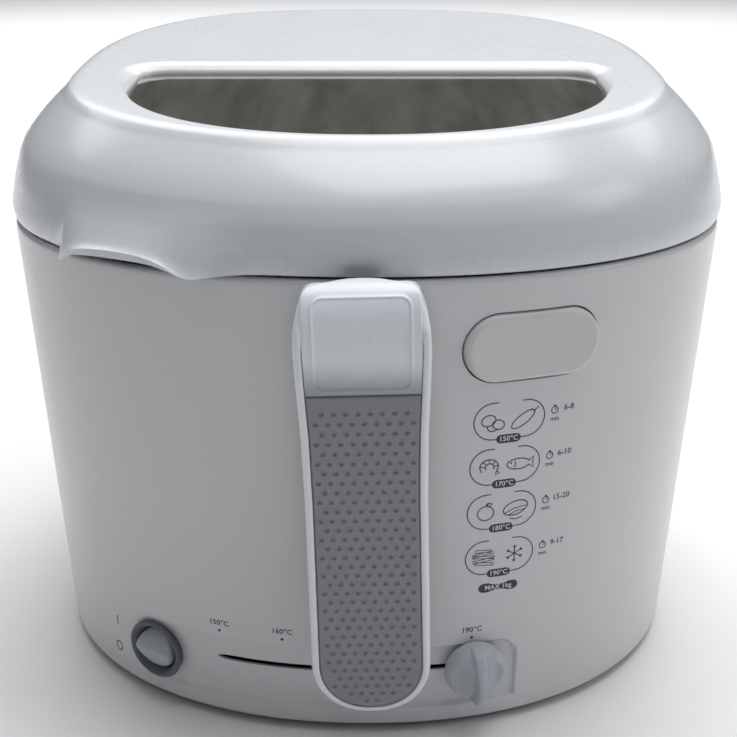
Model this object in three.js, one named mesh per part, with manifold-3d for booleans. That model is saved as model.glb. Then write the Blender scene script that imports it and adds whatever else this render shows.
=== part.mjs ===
// Compact household deep fryer: oval cool-wall casing, hinged lid with a recessed viewing pane,
// fold-down basket handle, lid button, temperature slider and power rocker.
// Millimetres, +Z up, +X to the right of a person facing the front, front towards -Y.
import * as THREE from 'three';
import { mergeVertices } from 'three/addons/utils/BufferGeometryUtils.js';
import Module from 'manifold-3d';

const wasm = await Module();
wasm.setup();

// ---------------------------------------------------------------- driving dimensions
const GAP = 0.3;              // working gap left between separate pieces
const FOOT_H = 3.0;           // casing edge stands this far above the table
const SEAM_A = 150.0;         // casing half width at the lid seam
const SEAM_BF = 125.3;        // casing front reach at the seam, from the widest section
const SEAM_BB = 163.7;        // casing rear reach at the seam
const NF = 2.12, NB = 2.76;   // outline exponents, front and rear halves
const SEAM_H = 190.1;         // seam height above the casing edge
const BASE_IN_A = 8.1;        // draft of the casing side wall, sides
const BASE_IN_B = 7.0;        // draft of the casing side wall, front and rear
const WALL = 2.6;             // moulded wall
const LID_GAP = 0.9;          // open line between casing and lid
const BULGE = 2.5;            // lid rim stands proud of the seam
const BULGE_H = 198.0;
const CHAM = { a: 146.2, bf: 122.5, bb: 161.0, h: 214.6, slope: 0.06 };   // lower edge of the lid chamfer
const TOP = { inset: 24.2, h: 230.6, slope: 0.12 };                       // flat top of the lid, rising to the rear
const WIN = { a: 97.5, b: 79.0, yc: -13.0, back: 9.2, depth: 3.6, pane: 3.0 };  // D-shaped viewing recess
const BOWL = { inset: 24.0, floor: 54.0, t: 1.4, draft: 9.0 };
const FLANGE_IN = 12.5;       // bowl flange outer edge, inset from the seam outline
const BASKET = { a: 112.0, bf: 87.0, bb: 125.0, top: 165.0, bottom: 68.0, draft: 6.0, t: 1.6 };
const HINGE = { y: 170.0, z: 189.0, r: 5.0, pin: 2.2 };                   // lid hinge axis, behind the rear wall
const HANDLE = { x: -1.9, y: -136.5, z: 183.0, r: 10.5, lean: 1.45, half: 22.4, len: 158.5 };
const BUTTON = { az: 17.9, x: 59.3, y: -115.7, z: 163.6, w: 52.0, h: 25.5 };
const SWITCH = { az: -30.8, x: -86.7, y: -97.5, z: 23.6, r: 12.8, hole: 9.6, rocker: 8.9 };
const TRACK = { yc: 78.6, R: 198.0, z: 27.3, from: -17.85, to: 13.0, rest: 12.28, slot: 2.4 };
const SEG = 44;               // segments round each large outline

const rad = THREE.MathUtils.degToRad;
const G = new THREE.Group();
G.name = 'deep_fryer';

// ---------------------------------------------------------------- helpers
const sgn = (v) => (v < 0 ? -1 : 1);
function outline(a, bf, bb, n = SEG) {
  const out = [];
  for (let i = 0; i < n; i++) {
    const t = (2 * Math.PI * i) / n, c = Math.cos(t), s = Math.sin(t), e = s < 0 ? NF : NB;
    out.push([a * sgn(c) * Math.abs(c) ** (2 / e), (s < 0 ? bf : bb) * sgn(s) * Math.abs(s) ** (2 / e)]);
  }
  return out;
}
// a ring of the casing outline at height z, moved out by off
function wallRing(z, off = 0, n = SEG) {
  const k = 1 - Math.min(Math.max(z / SEAM_H, 0), 1);
  return outline(SEAM_A - BASE_IN_A * k + off, SEAM_BF - BASE_IN_B * k + off, SEAM_BB - BASE_IN_B * k + off, n)
    .map(([x, y]) => [x, y, z]);
}
function flatRing(a, bf, bb, z, n = SEG) {
  const f = typeof z === 'function' ? z : () => z;
  return outline(a, bf, bb, n).map(([x, y]) => [x, y, f(y)]);
}
// surface through a list of equal rings; 'cap' closes both ends, 'loop' joins the last ring to the first
function loft(rings, mode = 'cap') {
  const n = rings[0].length, pos = [], idx = [];
  for (const r of rings) for (const p of r) pos.push(p[0], p[1], p[2]);
  const m = rings.length, last = mode === 'loop' ? m : m - 1;
  for (let i = 0; i < last; i++) for (let j = 0; j < n; j++) {
    const a = i * n + j, b = i * n + (j + 1) % n, k = (i + 1) % m, c = k * n + (j + 1) % n, d = k * n + j;
    idx.push(a, b, c, a, c, d);
  }
  if (mode === 'cap') {
    for (const [k, flip] of [[0, true], [m - 1, false]]) {
      const r = rings[k], o = pos.length / 3;
      let x = 0, y = 0, z = 0;
      for (const p of r) { x += p[0] / n; y += p[1] / n; z += p[2] / n; }
      pos.push(x, y, z);
      for (let j = 0; j < n; j++) {
        const a = k * n + j, b = k * n + (j + 1) % n;
        flip ? idx.push(o, b, a) : idx.push(o, a, b);
      }
    }
  }
  const g = new THREE.BufferGeometry();
  g.setAttribute('position', new THREE.Float32BufferAttribute(pos, 3));
  g.setIndex(idx);
  return g;
}
function solid(geometry) {
  let g = geometry.clone();
  g.deleteAttribute('normal'); g.deleteAttribute('uv');
  g = mergeVertices(g, 1e-4);
  return new wasm.Manifold(new wasm.Mesh({
    numProp: 3, vertProperties: new Float32Array(g.attributes.position.array), triVerts: new Uint32Array(g.index.array),
  }));
}
function geometryOf(m) {
  const mesh = m.getMesh(), g = new THREE.BufferGeometry(), p = new Float32Array(mesh.numVert * 3);
  for (let i = 0; i < mesh.numVert; i++) for (let k = 0; k < 3; k++) p[3 * i + k] = mesh.vertProperties[i * mesh.numProp + k];
  g.setAttribute('position', new THREE.BufferAttribute(p, 3));
  g.setIndex(new THREE.BufferAttribute(new Uint32Array(mesh.triVerts), 1));
  return g;
}
function box(x0, x1, y0, y1, z0, z1) {
  const g = new THREE.BoxGeometry(x1 - x0, y1 - y0, z1 - z0);
  g.translate((x0 + x1) / 2, (y0 + y1) / 2, (z0 + z1) / 2);
  return g;
}
function cylZ(r, x, y, z0, z1, n = 16) {
  const g = new THREE.CylinderGeometry(r, r, z1 - z0, n);
  g.rotateX(Math.PI / 2); g.translate(x, y, (z0 + z1) / 2);
  return g;
}
function cylX(r, y, z, x0, x1, n = 16) {
  const g = new THREE.CylinderGeometry(r, r, x1 - x0, n);
  g.rotateZ(Math.PI / 2); g.translate((x0 + x1) / 2, y, z);
  return g;
}
function cylY(r, x, z, y0, y1, n = 16) {
  const g = new THREE.CylinderGeometry(r, r, y1 - y0, n);
  g.translate(x, (y0 + y1) / 2, z);
  return g;
}
function polygon(points) {
  const s = new THREE.Shape();
  points.forEach(([x, y], i) => (i ? s.lineTo(x, y) : s.moveTo(x, y)));
  s.closePath();
  return s;
}
// shape drawn in X-Y, pulled up from z0 to z1
function prism(shape, z0, z1, curveSegments = 10) {
  const g = new THREE.ExtrudeGeometry(shape, { depth: z1 - z0, bevelEnabled: false, curveSegments });
  g.translate(0, 0, z0);
  return g;
}
// local frame of a control on the wall: local +Z points out of the wall, +Y up, +X to the right
function onWall(c) {
  const az = rad(c.az), m = new THREE.Matrix4();
  const n = new THREE.Vector3(Math.sin(az), -Math.cos(az), 0), u = new THREE.Vector3(Math.cos(az), Math.sin(az), 0);
  m.makeBasis(u, new THREE.Vector3(0, 0, 1), n);
  m.setPosition(c.x, c.y, c.z);
  return m;
}
const put = (g, m) => g.clone().applyMatrix4(m);
const mat = (color, roughness = 0.45, metalness = 0) => new THREE.MeshStandardMaterial({ color, roughness, metalness });
const WHITE = 0xd9dbe0, GREY = 0x63646b, LIGHT = 0xc4cbd3, DARK = 0x2b2c30;
function add(name, geometry, material, parent = G) {
  const g = geometry.clone();
  g.deleteAttribute('uv');
  const mesh = new THREE.Mesh(g, material);
  mesh.name = name;
  parent.add(mesh);
  return mesh;
}

// ---------------------------------------------------------------- outer casing
const casingRings = [
  wallRing(0, -3.2), wallRing(1.0, -1.0), wallRing(3.2, 0), wallRing(SEAM_H / 2, 0), wallRing(SEAM_H - 1.2, 0), wallRing(SEAM_H, -0.9),
  wallRing(SEAM_H, -WALL), wallRing(SEAM_H - 1.1, -WALL - 0.2), wallRing(SEAM_H - 1.1, -17), wallRing(SEAM_H - 3.6, -17),
  wallRing(SEAM_H - 3.6, -WALL), wallRing(SEAM_H / 2, -WALL), wallRing(3.4, -WALL), wallRing(0, -WALL - 2.4),
];
let casing = solid(loft(casingRings, 'loop'));
// shallow control panel along the foot of the front wall
const panelCore = solid(loft([wallRing(0, -1.0), wallRing(60, -1.0)]));
casing = casing.subtract(solid(box(-67, 60.5, -150, -70, 8.5, 38)).subtract(panelCore));
// curved slot of the temperature slider
function sector(r0, r1, a0, a1, z0, z1, steps = 14) {
  const pts = [];
  for (let i = 0; i <= steps; i++) { const a = rad(a0 + (a1 - a0) * i / steps); pts.push([r1 * Math.sin(a), TRACK.yc - r1 * Math.cos(a)]); }
  for (let i = steps; i >= 0; i--) { const a = rad(a0 + (a1 - a0) * i / steps); pts.push([r0 * Math.sin(a), TRACK.yc - r0 * Math.cos(a)]); }
  return prism(polygon(pts), z0, z1);
}
casing = casing.subtract(solid(sector(188, 205, TRACK.from, TRACK.to, TRACK.z - TRACK.slot / 2, TRACK.z + TRACK.slot / 2)));
// switch hole
const swM = onWall(SWITCH);
const localCyl = (r, z0, z1, n = 28) => cylZ(r, 0, 0, z0, z1, n);
casing = casing.subtract(solid(put(localCyl(SWITCH.r - 0.8, -12, 8), swM)));
// lid button hole
function stadium(w, h) {
  const r = h / 2, l = w / 2 - r, s = new THREE.Shape();
  s.moveTo(-l, -r); s.lineTo(l, -r); s.absarc(l, 0, r, -Math.PI / 2, Math.PI / 2, false);
  s.lineTo(-l, r); s.absarc(-l, 0, r, Math.PI / 2, 1.5 * Math.PI, false);
  return s;
}
const btM = onWall(BUTTON);
casing = casing.subtract(solid(put(prism(stadium(BUTTON.w + 1.8, BUTTON.h + 1.8), -12, 8, 8), btM)));
// notch of the inner ledge for the lid catch
casing = casing.subtract(solid(put(box(-9, 9, SEAM_H - 8 - BUTTON.z, SEAM_H + 4 - BUTTON.z, -11, -3.2), btM)));
// opening for the handle's pivot arm
casing = casing.subtract(solid(box(HANDLE.x - 7, HANDLE.x + 7, -130, -116, HANDLE.z - 12.0, HANDLE.z - 4.1)));
// pouring side, front left: the bowl's lip reaches the inside of the rim here
const POUR = { az: -29.5, x: -82, y: -107.5, z: SEAM_H };
// rear hinge ears, moulded on
for (const s of [-1, 1]) for (const x of [22, 47]) {
  const x0 = s < 0 ? -(x + 5) : x, x1 = x0 + 5;
  casing = casing.add(solid(box(x0, x1, 159, HINGE.y, HINGE.z - 14, HINGE.z + 1)).subtract(solid(box(x0 - 1, x1 + 1, 140, 162, HINGE.z + 0.9, HINGE.z + 9))));
  casing = casing.add(solid(cylX(HINGE.r, HINGE.y, HINGE.z, x0, x1, 20)));
}
for (const s of [-1, 1]) casing = casing.subtract(solid(cylX(HINGE.pin + GAP, HINGE.y, HINGE.z, s < 0 ? -50 : 24, s < 0 ? -24 : 50, 16)));
// screw bosses inside the foot of the wall
const bossAngles = [[205, 9.0], [335, 9.0], [130, 8.6], [50, 8.6]];
const bosses = bossAngles.map(([d, inset]) => {
  const t = rad(d), c = Math.cos(t), s = Math.sin(t), e = s < 0 ? NF : NB;
  return [(SEAM_A - BASE_IN_A - inset) * sgn(c) * Math.abs(c) ** (2 / e), ((s < 0 ? SEAM_BF : SEAM_BB) - BASE_IN_B - inset) * sgn(s) * Math.abs(s) ** (2 / e)];
});
const casingCore = solid(loft([wallRing(3.2, 0), wallRing(60, 0)]));
for (const [x, y] of bosses) {
  casing = casing.add(solid(cylZ(7.5, x, y, 6.6, 24, 16)).intersect(casingCore));
}
for (const [x, y] of bosses) casing = casing.subtract(solid(cylZ(1.9, x, y, 5, 21, 12)));
// cord outlet hole, rear
casing = casing.subtract(solid(cylY(7.6, 0, 26, 148, 170, 20)));
add('outer_casing', geometryOf(casing), mat(WHITE, 0.32));

// ---------------------------------------------------------------- base plate, feet, screws
let base = solid(loft([flatRing(133.5, 110.5, 149, 0.4), flatRing(135, 112, 150.5, 1.4), flatRing(136, 113, 151.5, 3.0)]));
for (const [x, y] of bosses) base = base.subtract(solid(cylZ(1.9, x, y, -2, 6, 12)));
for (let i = -3; i <= 3; i++) base = base.subtract(solid(box(i * 14 - 2.5, i * 14 + 2.5, 20, 70, -1, 5)));
add('base_plate', geometryOf(base), mat(0x8b8e94, 0.6));
const feet = { foot_front_left: [-82, -66], foot_front_right: [82, -66], foot_rear_left: [-92, 104], foot_rear_right: [92, 104] };
for (const [name, [x, y]] of Object.entries(feet)) {
  const g = new THREE.CylinderGeometry(11, 10, FOOT_H + 0.1, 20);
  g.rotateX(Math.PI / 2); g.translate(x, y, (-FOOT_H + 0.1) / 2);
  add(name, g, mat(DARK, 0.85));
}
bosses.forEach(([x, y], i) => {
  const s = solid(cylZ(3.4, x, y, -1.6, 0.1, 12)).add(solid(cylZ(1.5, x, y, -0.2, 18, 10)));
  add(`base_screw_${['front_left', 'front_right', 'rear_left', 'rear_right'][i]}`, geometryOf(s), mat(0xb8babd, 0.35, 0.9));
});

// ---------------------------------------------------------------- bowl, element, shield
const bi = (k, off = 0) => [SEAM_A - BOWL.inset - BOWL.draft * k + off, SEAM_BF - BOWL.inset - BOWL.draft * k + off, SEAM_BB - BOWL.inset - BOWL.draft * k + off];
const FL = SEAM_H - 0.8;      // underside of the bowl flange
const bowlRings = [
  flatRing(...bi(1, -10), BOWL.floor), flatRing(...bi(1, -3), BOWL.floor + 2.2), flatRing(...bi(1), BOWL.floor + 8),
  flatRing(...bi(0), FL - 3), flatRing(...bi(0, 2.5), FL), flatRing(SEAM_A - FLANGE_IN, SEAM_BF - FLANGE_IN, SEAM_BB - FLANGE_IN, FL),
  flatRing(SEAM_A - FLANGE_IN, SEAM_BF - FLANGE_IN, SEAM_BB - FLANGE_IN, FL + 1.3), flatRing(...bi(0, 1.8), FL + 1.3),
  flatRing(...bi(0, -BOWL.t), FL - 2.4), flatRing(...bi(1, -BOWL.t), BOWL.floor + 8.4), flatRing(...bi(1, -3 - BOWL.t), BOWL.floor + 3.4), flatRing(...bi(1, -10.5), BOWL.floor + BOWL.t),
];
let bowl = solid(loft(bowlRings));
bowl = bowl.subtract(solid(box(HANDLE.x - 9, HANDLE.x + 9, -116, -88, 158, FL - 3.2)));        // way through for the basket carrier
bowl = bowl.add(solid(put(prism(polygon([[-15, -26], [15, -26], [13.5, -2.8], [-13.5, -2.8]]), 0, 1.3), new THREE.Matrix4().makeBasis(
  new THREE.Vector3(Math.cos(rad(POUR.az)), Math.sin(rad(POUR.az)), 0), new THREE.Vector3(Math.sin(rad(POUR.az)), -Math.cos(rad(POUR.az)), 0).negate().multiplyScalar(-1),
  new THREE.Vector3(0, 0, -1)).setPosition(POUR.x, POUR.y, FL + 1.3))).intersect(solid(loft([flatRing(SEAM_A - 3.1, SEAM_BF - 3.1, SEAM_BB - 3.1, 150), flatRing(SEAM_A - 3.1, SEAM_BF - 3.1, SEAM_BB - 3.1, 210)])).subtract(solid(loft([flatRing(...bi(0, 4), 150), flatRing(...bi(0, 4), 210)])))));
add('fry_bowl', geometryOf(bowl), mat(0x2e2f31, 0.42, 0.3));

// tubular element looped under the bowl floor, ends brought to the rear
const elPts = [[12, 118, 38], [12, 108, 44], [14, 96, 45.5], [60, 78, 45.5], [86, 40, 45.5], [82, -8, 45.5], [50, -42, 45.5], [0, -54, 45.5], [-50, -42, 45.5], [-82, -8, 45.5], [-86, 40, 45.5], [-60, 78, 45.5], [-14, 96, 45.5], [-12, 108, 44], [-12, 118, 38]]
  .map((p) => new THREE.Vector3(...p));
const tubeShape = (r, n = 8) => polygon(Array.from({ length: n }, (_, i) => [r * Math.cos(2 * Math.PI * i / n), r * Math.sin(2 * Math.PI * i / n)]));
add('heating_element', new THREE.ExtrudeGeometry(tubeShape(3.6), { steps: 44, bevelEnabled: false, extrudePath: new THREE.CatmullRomCurve3(elPts) }), mat(0x6d6f73, 0.5, 0.8));
let shield = solid(loft([flatRing(102, 76, 78, 35.2, 32), flatRing(110, 84, 86, 40, 32), flatRing(110, 84, 86, 41, 32), flatRing(109, 83, 85, 41, 32), flatRing(101.4, 75.4, 77.4, 36.2, 32)]));
add('heat_shield', geometryOf(shield), mat(0xb5b7ba, 0.35, 0.9));
add('thermal_cutout', box(-14, 14, -12, 14, 44.2, 52.5), mat(DARK, 0.6));
add('terminal_block', box(-24, 24, 124, 138, 12, 30), mat(0xe6e4dc, 0.6));
const gland = new THREE.LatheGeometry([[3.6, -12], [7.2, -12], [7.2, 1.4], [10, 1.4], [10, 4.5], [7.5, 6.5], [5.6, 12], [3.6, 12], [3.6, -12]].map(([x, y]) => new THREE.Vector2(x, y)), 20);
gland.translate(0, 157.6, 26);
add('cord_gland', gland, mat(GREY, 0.7));

// ---------------------------------------------------------------- controls behind the panel
add('thermostat_body', box(-24, 26, -98, -76, 9, 33), mat(0xd8d4c6, 0.6));
let swBody = solid(put(box(-8.8, 8.8, -9.5, 9.5, -27, -8.3), swM));
add('switch_body', geometryOf(swBody), mat(DARK, 0.6));
const bezel = new THREE.LatheGeometry([[SWITCH.hole, -7.9], [11.7, -7.9], [11.7, 0.9], [SWITCH.r, 0.9], [SWITCH.r, 2.0], [SWITCH.r - 0.8, 2.6], [SWITCH.hole, 0.2], [SWITCH.hole, -7.9]].map(([x, y]) => new THREE.Vector2(x, y)), 28);
bezel.rotateX(Math.PI / 2);
add('switch_bezel', geometryOf(solid(put(bezel, swM))), mat(GREY, 0.45));

// rocker: ridge across the middle, tipped with its upper half pressed in
const rockProfile = [[-8.6, -3.0], [8.6, -3.0], [8.6, 1.6], [0, 4.2], [-8.6, 1.6]];
let rocker = solid((() => {
  const g = prism(polygon(rockProfile.map(([v, w]) => [w, v])), -9.5, 9.5);   // drawn as (w, v), pulled along u
  g.applyMatrix4(new THREE.Matrix4().makeBasis(new THREE.Vector3(0, 0, 1), new THREE.Vector3(0, 1, 0), new THREE.Vector3(-1, 0, 0)));
  return g;
})()).intersect(solid(localCyl(SWITCH.rocker, -10, 10, 28)));
const rockTilt = new THREE.Matrix4().makeRotationX(rad(-7));
add('rocker_cap', geometryOf(solid(put(geometryOf(rocker), new THREE.Matrix4().multiplyMatrices(swM, new THREE.Matrix4().makeTranslation(0, 0, -1.2).multiply(rockTilt))))), mat(LIGHT, 0.4));

// temperature slider: domed disc with an upright fin, shank through the slot, shoe inside
const tAz = TRACK.rest, kc = { az: tAz, x: TRACK.R * Math.sin(rad(tAz)), y: TRACK.yc - TRACK.R * Math.cos(rad(tAz)), z: TRACK.z };
const kM = onWall(kc);
const disc = new THREE.LatheGeometry([[0, 0.6], [11.6, 0.6], [12.3, 2.0], [11.6, 4.6], [8.2, 6.6], [3.5, 7.6], [0, 7.8]].map(([x, y]) => new THREE.Vector2(x, y)), 28);
disc.rotateX(Math.PI / 2);
let knob = solid(disc);
const finSide = polygon([[3, -11.2], [8.5, -11.6], [12.8, -10.2], [14.9, -6.5], [15.2, -1], [14.2, 5], [10.5, 10], [3, 11.4]]);   // (out, up)
const fin = prism(finSide, -2.4, 2.4);
fin.applyMatrix4(new THREE.Matrix4().makeBasis(new THREE.Vector3(0, 0, 1), new THREE.Vector3(0, 1, 0), new THREE.Vector3(-1, 0, 0)));
knob = knob.add(solid(fin));
knob = knob.add(solid(box(-1.1, 1.1, -0.85, 0.85, -5.2, 1)));
add('thermostat_knob', geometryOf(solid(put(geometryOf(knob), kM))), mat(LIGHT, 0.4));
add('thermostat_shoe', sector(187, 192.6, tAz - 2.0, tAz + 2.0, TRACK.z - 7, TRACK.z + 7, 3), mat(DARK, 0.5));

// ---------------------------------------------------------------- lid button and its latch
let button = solid(put(prism(stadium(BUTTON.w, BUTTON.h), -4.2, 2.4, 8), btM));
button = button.add(solid(put(prism(stadium(BUTTON.w + 4.4, BUTTON.h + 4.4), -7.2, -5.6, 8), btM)));
button = button.add(solid(put(prism(stadium(BUTTON.w - 4, BUTTON.h - 4), -6, -4, 8), btM)));
add('lid_button', geometryOf(button), mat(0xc9c9ca, 0.4));
add('latch_plate', geometryOf(solid(put(box(-8, 8, -12, SEAM_H - 6 - BUTTON.z, -9.6, -7.6), btM)).add(solid(put(box(-4, 4, SEAM_H - 8.5 - BUTTON.z, SEAM_H - 6.4 - BUTTON.z, -8, -6.6), btM)))), mat(0xd8d8d8, 0.5));

// ---------------------------------------------------------------- handle: frame, pad, insert on a leaning pivot
const HG = new THREE.Group();
HG.position.set(HANDLE.x, HANDLE.y, HANDLE.z);
HG.rotation.y = -rad(HANDLE.lean);
G.add(HG);
const sideZ = (df, db = 0) => {
  const R = HANDLE.r, p = [];
  for (let i = 0; i <= 10; i++) { const t = Math.PI * i / 10; p.push([-(R - df) * Math.cos(t) , (R - (df + db) / 2) * Math.sin(t)]); }
  p[10][0] = R - db;
  p.push([8.6 - db, -12], [7 - db, -31.5], [6.2 - db, -87.5], [1.0 - db, -131.5], [0.6 - db, -151.5], [-1.0, -HANDLE.len + df]);
  p.push([-3.6 + df * 0.6, -156.7 + df], [-6.2 + df, -150.5], [-7.4 + df, -139.5], [-7.9 + df, -117.5], [-9.3 + df, -67.5], [-10.1 + df, -23.5]);
  return polygon(p);
};
function sideSolid(df, db, x0, x1) {
  const g = prism(sideZ(df, db), x0, x1);      // drawn as (y, z), pulled along x
  g.applyMatrix4(new THREE.Matrix4().makeBasis(new THREE.Vector3(0, 1, 0), new THREE.Vector3(0, 0, 1), new THREE.Vector3(1, 0, 0)));
  return solid(g);
}
const halfAt = (z) => {   // half width of the handle along its length
  const k = [[11, 20.6], [3, 22.6], [-9.5, 22.9], [-41.5, 21.8], [-66.5, 21.5], [-117.5, 21.9], [-135.5, 22.0]];
  if (z >= k[0][0]) return k[0][1];
  for (let i = 1; i < k.length; i++) if (z >= k[i][0]) { const t = (k[i - 1][0] - z) / (k[i - 1][0] - k[i][0]); return k[i - 1][1] + t * (k[i][1] - k[i - 1][1]); }
  return 22.0;
};
function frontOutline(inset, top, split0 = -999, split1 = 999) {
  const right = [], end = -HANDLE.len, zr = -135.5;
  const put2 = (x, z) => right.push([Math.max(x - inset, 0.0), z]);
  const topZ = Math.min(top, split1);
  if (split1 < 900) { put2(halfAt(topZ), topZ); } else { put2(halfAt(topZ) - 6.5, topZ); put2(halfAt(topZ) - 1.8, topZ - 2.4); put2(halfAt(topZ - 7), topZ - 7); }
  for (const z of [-20, -40, -65, -90, -116, zr]) if (z < topZ - 7.5 && z > split0 + 1) put2(halfAt(z), z);
  if (split0 > -900) put2(halfAt(split0), split0);
  else for (let i = 1; i <= 7; i++) { const t = (Math.PI / 2) * i / 8; put2(22.0 * Math.cos(t) ** 0.9, zr + (end + inset - zr) * Math.sin(t)); }
  const pts = right.slice();
  if (split0 <= -900) pts.push([0, end + inset]);
  for (let i = right.length - 1; i >= 0; i--) pts.push([-right[i][0], right[i][1]]);
  return polygon(pts);
}
function frontSolid(shape, y0, y1) {
  const g = prism(shape, y0, y1);               // drawn as (x, z), pulled along y
  g.applyMatrix4(new THREE.Matrix4().makeBasis(new THREE.Vector3(1, 0, 0), new THREE.Vector3(0, 0, 1), new THREE.Vector3(0, -1, 0)));
  return solid(g);
}
const INSERT_T = 2.6, SPLIT = -26.2, PAD_TOP = 12.0;
let frame = frontSolid(frontOutline(0, 10.5), -14, 14).intersect(sideSolid(0, 0, -26, 26));
const pocket = frontSolid(frontOutline(2.9, PAD_TOP), 2, 20).subtract(sideSolid(INSERT_T, 0, -30, 30));
frame = frame.subtract(pocket);
frame = frame.subtract(solid(cylX(7.0, 0, 0, -6.6, 6.6, 20)));
// the arm sweeps this wedge, from behind and below to behind and above, so the top edge stays whole
const alongX = (pts, x0, x1) => { const g = prism(polygon(pts), x0, x1); g.applyMatrix4(new THREE.Matrix4().makeBasis(new THREE.Vector3(0, 1, 0), new THREE.Vector3(0, 0, 1), new THREE.Vector3(1, 0, 0))); return solid(g); };
frame = frame.subtract(alongX([[-2.29, -3.28], [14.1, -14.75], [22, -14.75], [22, 17.9], [9.8, 17.9], [-3.06, 2.57]], -6.6, 6.6));
frame = frame.subtract(solid(cylX(HANDLE.r > 0 ? 2.6 : 0, 0, 0, -19.4, 19.4, 14)));
add('handle_frame', geometryOf(frame), mat(WHITE, 0.35), HG);
const skin = sideSolid(0.25, 0, -26, 26).subtract(sideSolid(INSERT_T - GAP, 0, -30, 30));
add('handle_pad', geometryOf(frontSolid(frontOutline(2.9 + GAP, PAD_TOP - GAP, SPLIT + GAP / 2), 2, 20).intersect(skin)), mat(LIGHT, 0.38), HG);
add('grip_insert', geometryOf(frontSolid(frontOutline(2.9 + GAP, 99, -999, SPLIT - GAP / 2), 2, 20).intersect(skin)), mat(GREY, 0.6), HG);
// pivot arm and pin fixed to the casing
let arm = solid(cylX(6.2, 0, 0, -5.8, 5.8, 20)).add(alongX([[-1.84, -2.62], [10.0, -10.9], [10.6, -11.2], [16.5, -11.2], [16.5, -4.9], [12.57, -4.9], [1.84, 2.62]], -5.8, 5.8));
arm = arm.add(solid(box(-13, 13, 16.1, 17.9, -19, 1.6)));
arm = arm.subtract(solid(cylX(2.5, 0, 0, -8, 8, 14)));
add('handle_mount', geometryOf(arm), mat(0xb9bcc2, 0.5), HG);
add('handle_pin', cylX(2.2, 0, 0, -19, 19, 14), mat(0xc4c6c9, 0.3, 0.9), HG);

// ---------------------------------------------------------------- basket
const bk = (k, off = 0) => [BASKET.a - BASKET.draft * k + off, BASKET.bf - BASKET.draft * k + off, BASKET.bb - BASKET.draft * k + off];
const BS = 40;
const basket = solid(loft([
  flatRing(...bk(1, -8), BASKET.bottom, BS), flatRing(...bk(1), BASKET.bottom + 7, BS), flatRing(...bk(0), BASKET.top - 5.2, BS),
  flatRing(...bk(0, -BASKET.t), BASKET.top - 5.2, BS), flatRing(...bk(1, -BASKET.t), BASKET.bottom + 7.6, BS), flatRing(...bk(1, -8.6), BASKET.bottom + BASKET.t, BS),
]));
add('fry_basket', geometryOf(basket), mat(0xb9bbbe, 0.35, 0.9));
const rimRing = (off, z) => flatRing(BASKET.a + off, BASKET.bf + off, BASKET.bb + off, z, BS);
add('basket_rim', loft(Array.from({ length: 6 }, (_, i) => { const t = 2 * Math.PI * i / 6 + Math.PI / 6; return rimRing(-0.8 + 2.2 * Math.sin(t), BASKET.top - 2.4 - 2.2 * Math.cos(t)); }), 'loop'), mat(0xc4c6c9, 0.3, 0.9));
let carrier = solid(box(HANDLE.x - 7, HANDLE.x + 7, -109, -89.0, 161.4, 164.2));
carrier = carrier.add(solid(box(HANDLE.x - 7, HANDLE.x + 7, -111, -108, 150, 165.4)));
carrier = carrier.add(solid(box(HANDLE.x - 7, HANDLE.x + 7, -90.6, -89.0, 140, 164.2)));
add('basket_carrier', geometryOf(carrier), mat(0xb0b2b5, 0.35, 0.9));

// ---------------------------------------------------------------- lid
const topZ = (y, d = 0) => TOP.h + TOP.slope * (y + CHAM.bf) - d;
const chamZ = (y, d = 0) => CHAM.h + CHAM.slope * (y + CHAM.bf) - d;
const LB = SEAM_H + LID_GAP;
// spout lip: the rim lifts and flares over the pouring side
function flare(ring, lift, out) {
  return ring.map(([x, y, z]) => {
    const az = Math.atan2(x, -y) * 180 / Math.PI;
    const bump = (w, e) => { const u = Math.abs((az + 38) / w); return u < 1 ? Math.cos(u * Math.PI / 2) ** e : 0; };
    const r = Math.hypot(x, y), o = out * bump(17, 1.3);
    return [x * (1 + o / r), y * (1 + o / r), z + lift * bump(13.5, 1)];
  });
}
const LS = 48;
const lr = (off, z) => flatRing(SEAM_A + off, SEAM_BF + off, SEAM_BB + off, z, LS);
const lidOuter = [
  flare(lr(-0.6, LB), 5.5, 5.5), flare(lr(0.6, LB + 1.0), 5.4, 5.6), flare(lr(2.0, LB + 4), 4.4, 4.8), flare(lr(BULGE, BULGE_H), 3, 3.4), flare(lr(1.6, BULGE_H + 7), 1, 1.4),
  flatRing(CHAM.a + 1.2, CHAM.bf + 1.2, CHAM.bb + 1.2, (y) => chamZ(y, 3.2), LS), flatRing(CHAM.a - 0.4, CHAM.bf - 0.4, CHAM.bb - 0.4, (y) => chamZ(y, -0.4), LS),
  flatRing(CHAM.a - TOP.inset + 2.5, CHAM.bf - TOP.inset + 2.5, CHAM.bb - TOP.inset + 2.5, (y) => topZ(y, 1.0), LS),
  flatRing(CHAM.a - TOP.inset - 1.5, CHAM.bf - TOP.inset - 1.5, CHAM.bb - TOP.inset - 1.5, (y) => topZ(y), LS),
];
const T = 2.4;
const lidInner = [
  flatRing(CHAM.a - TOP.inset - 3, CHAM.bf - TOP.inset - 3, CHAM.bb - TOP.inset - 3, (y) => topZ(y, T), LS),
  flatRing(CHAM.a - T - 1, CHAM.bf - T - 1, CHAM.bb - T - 1, (y) => chamZ(y, 1.6), LS),
  flare(lr(BULGE - T, BULGE_H), 3, 3.0), flare(lr(-T - 0.6, LB), 5.5, 5.2),
];
let lid = solid(loft([...lidInner, ...lidOuter]));
const lidFull = solid(loft(lidOuter));
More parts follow.
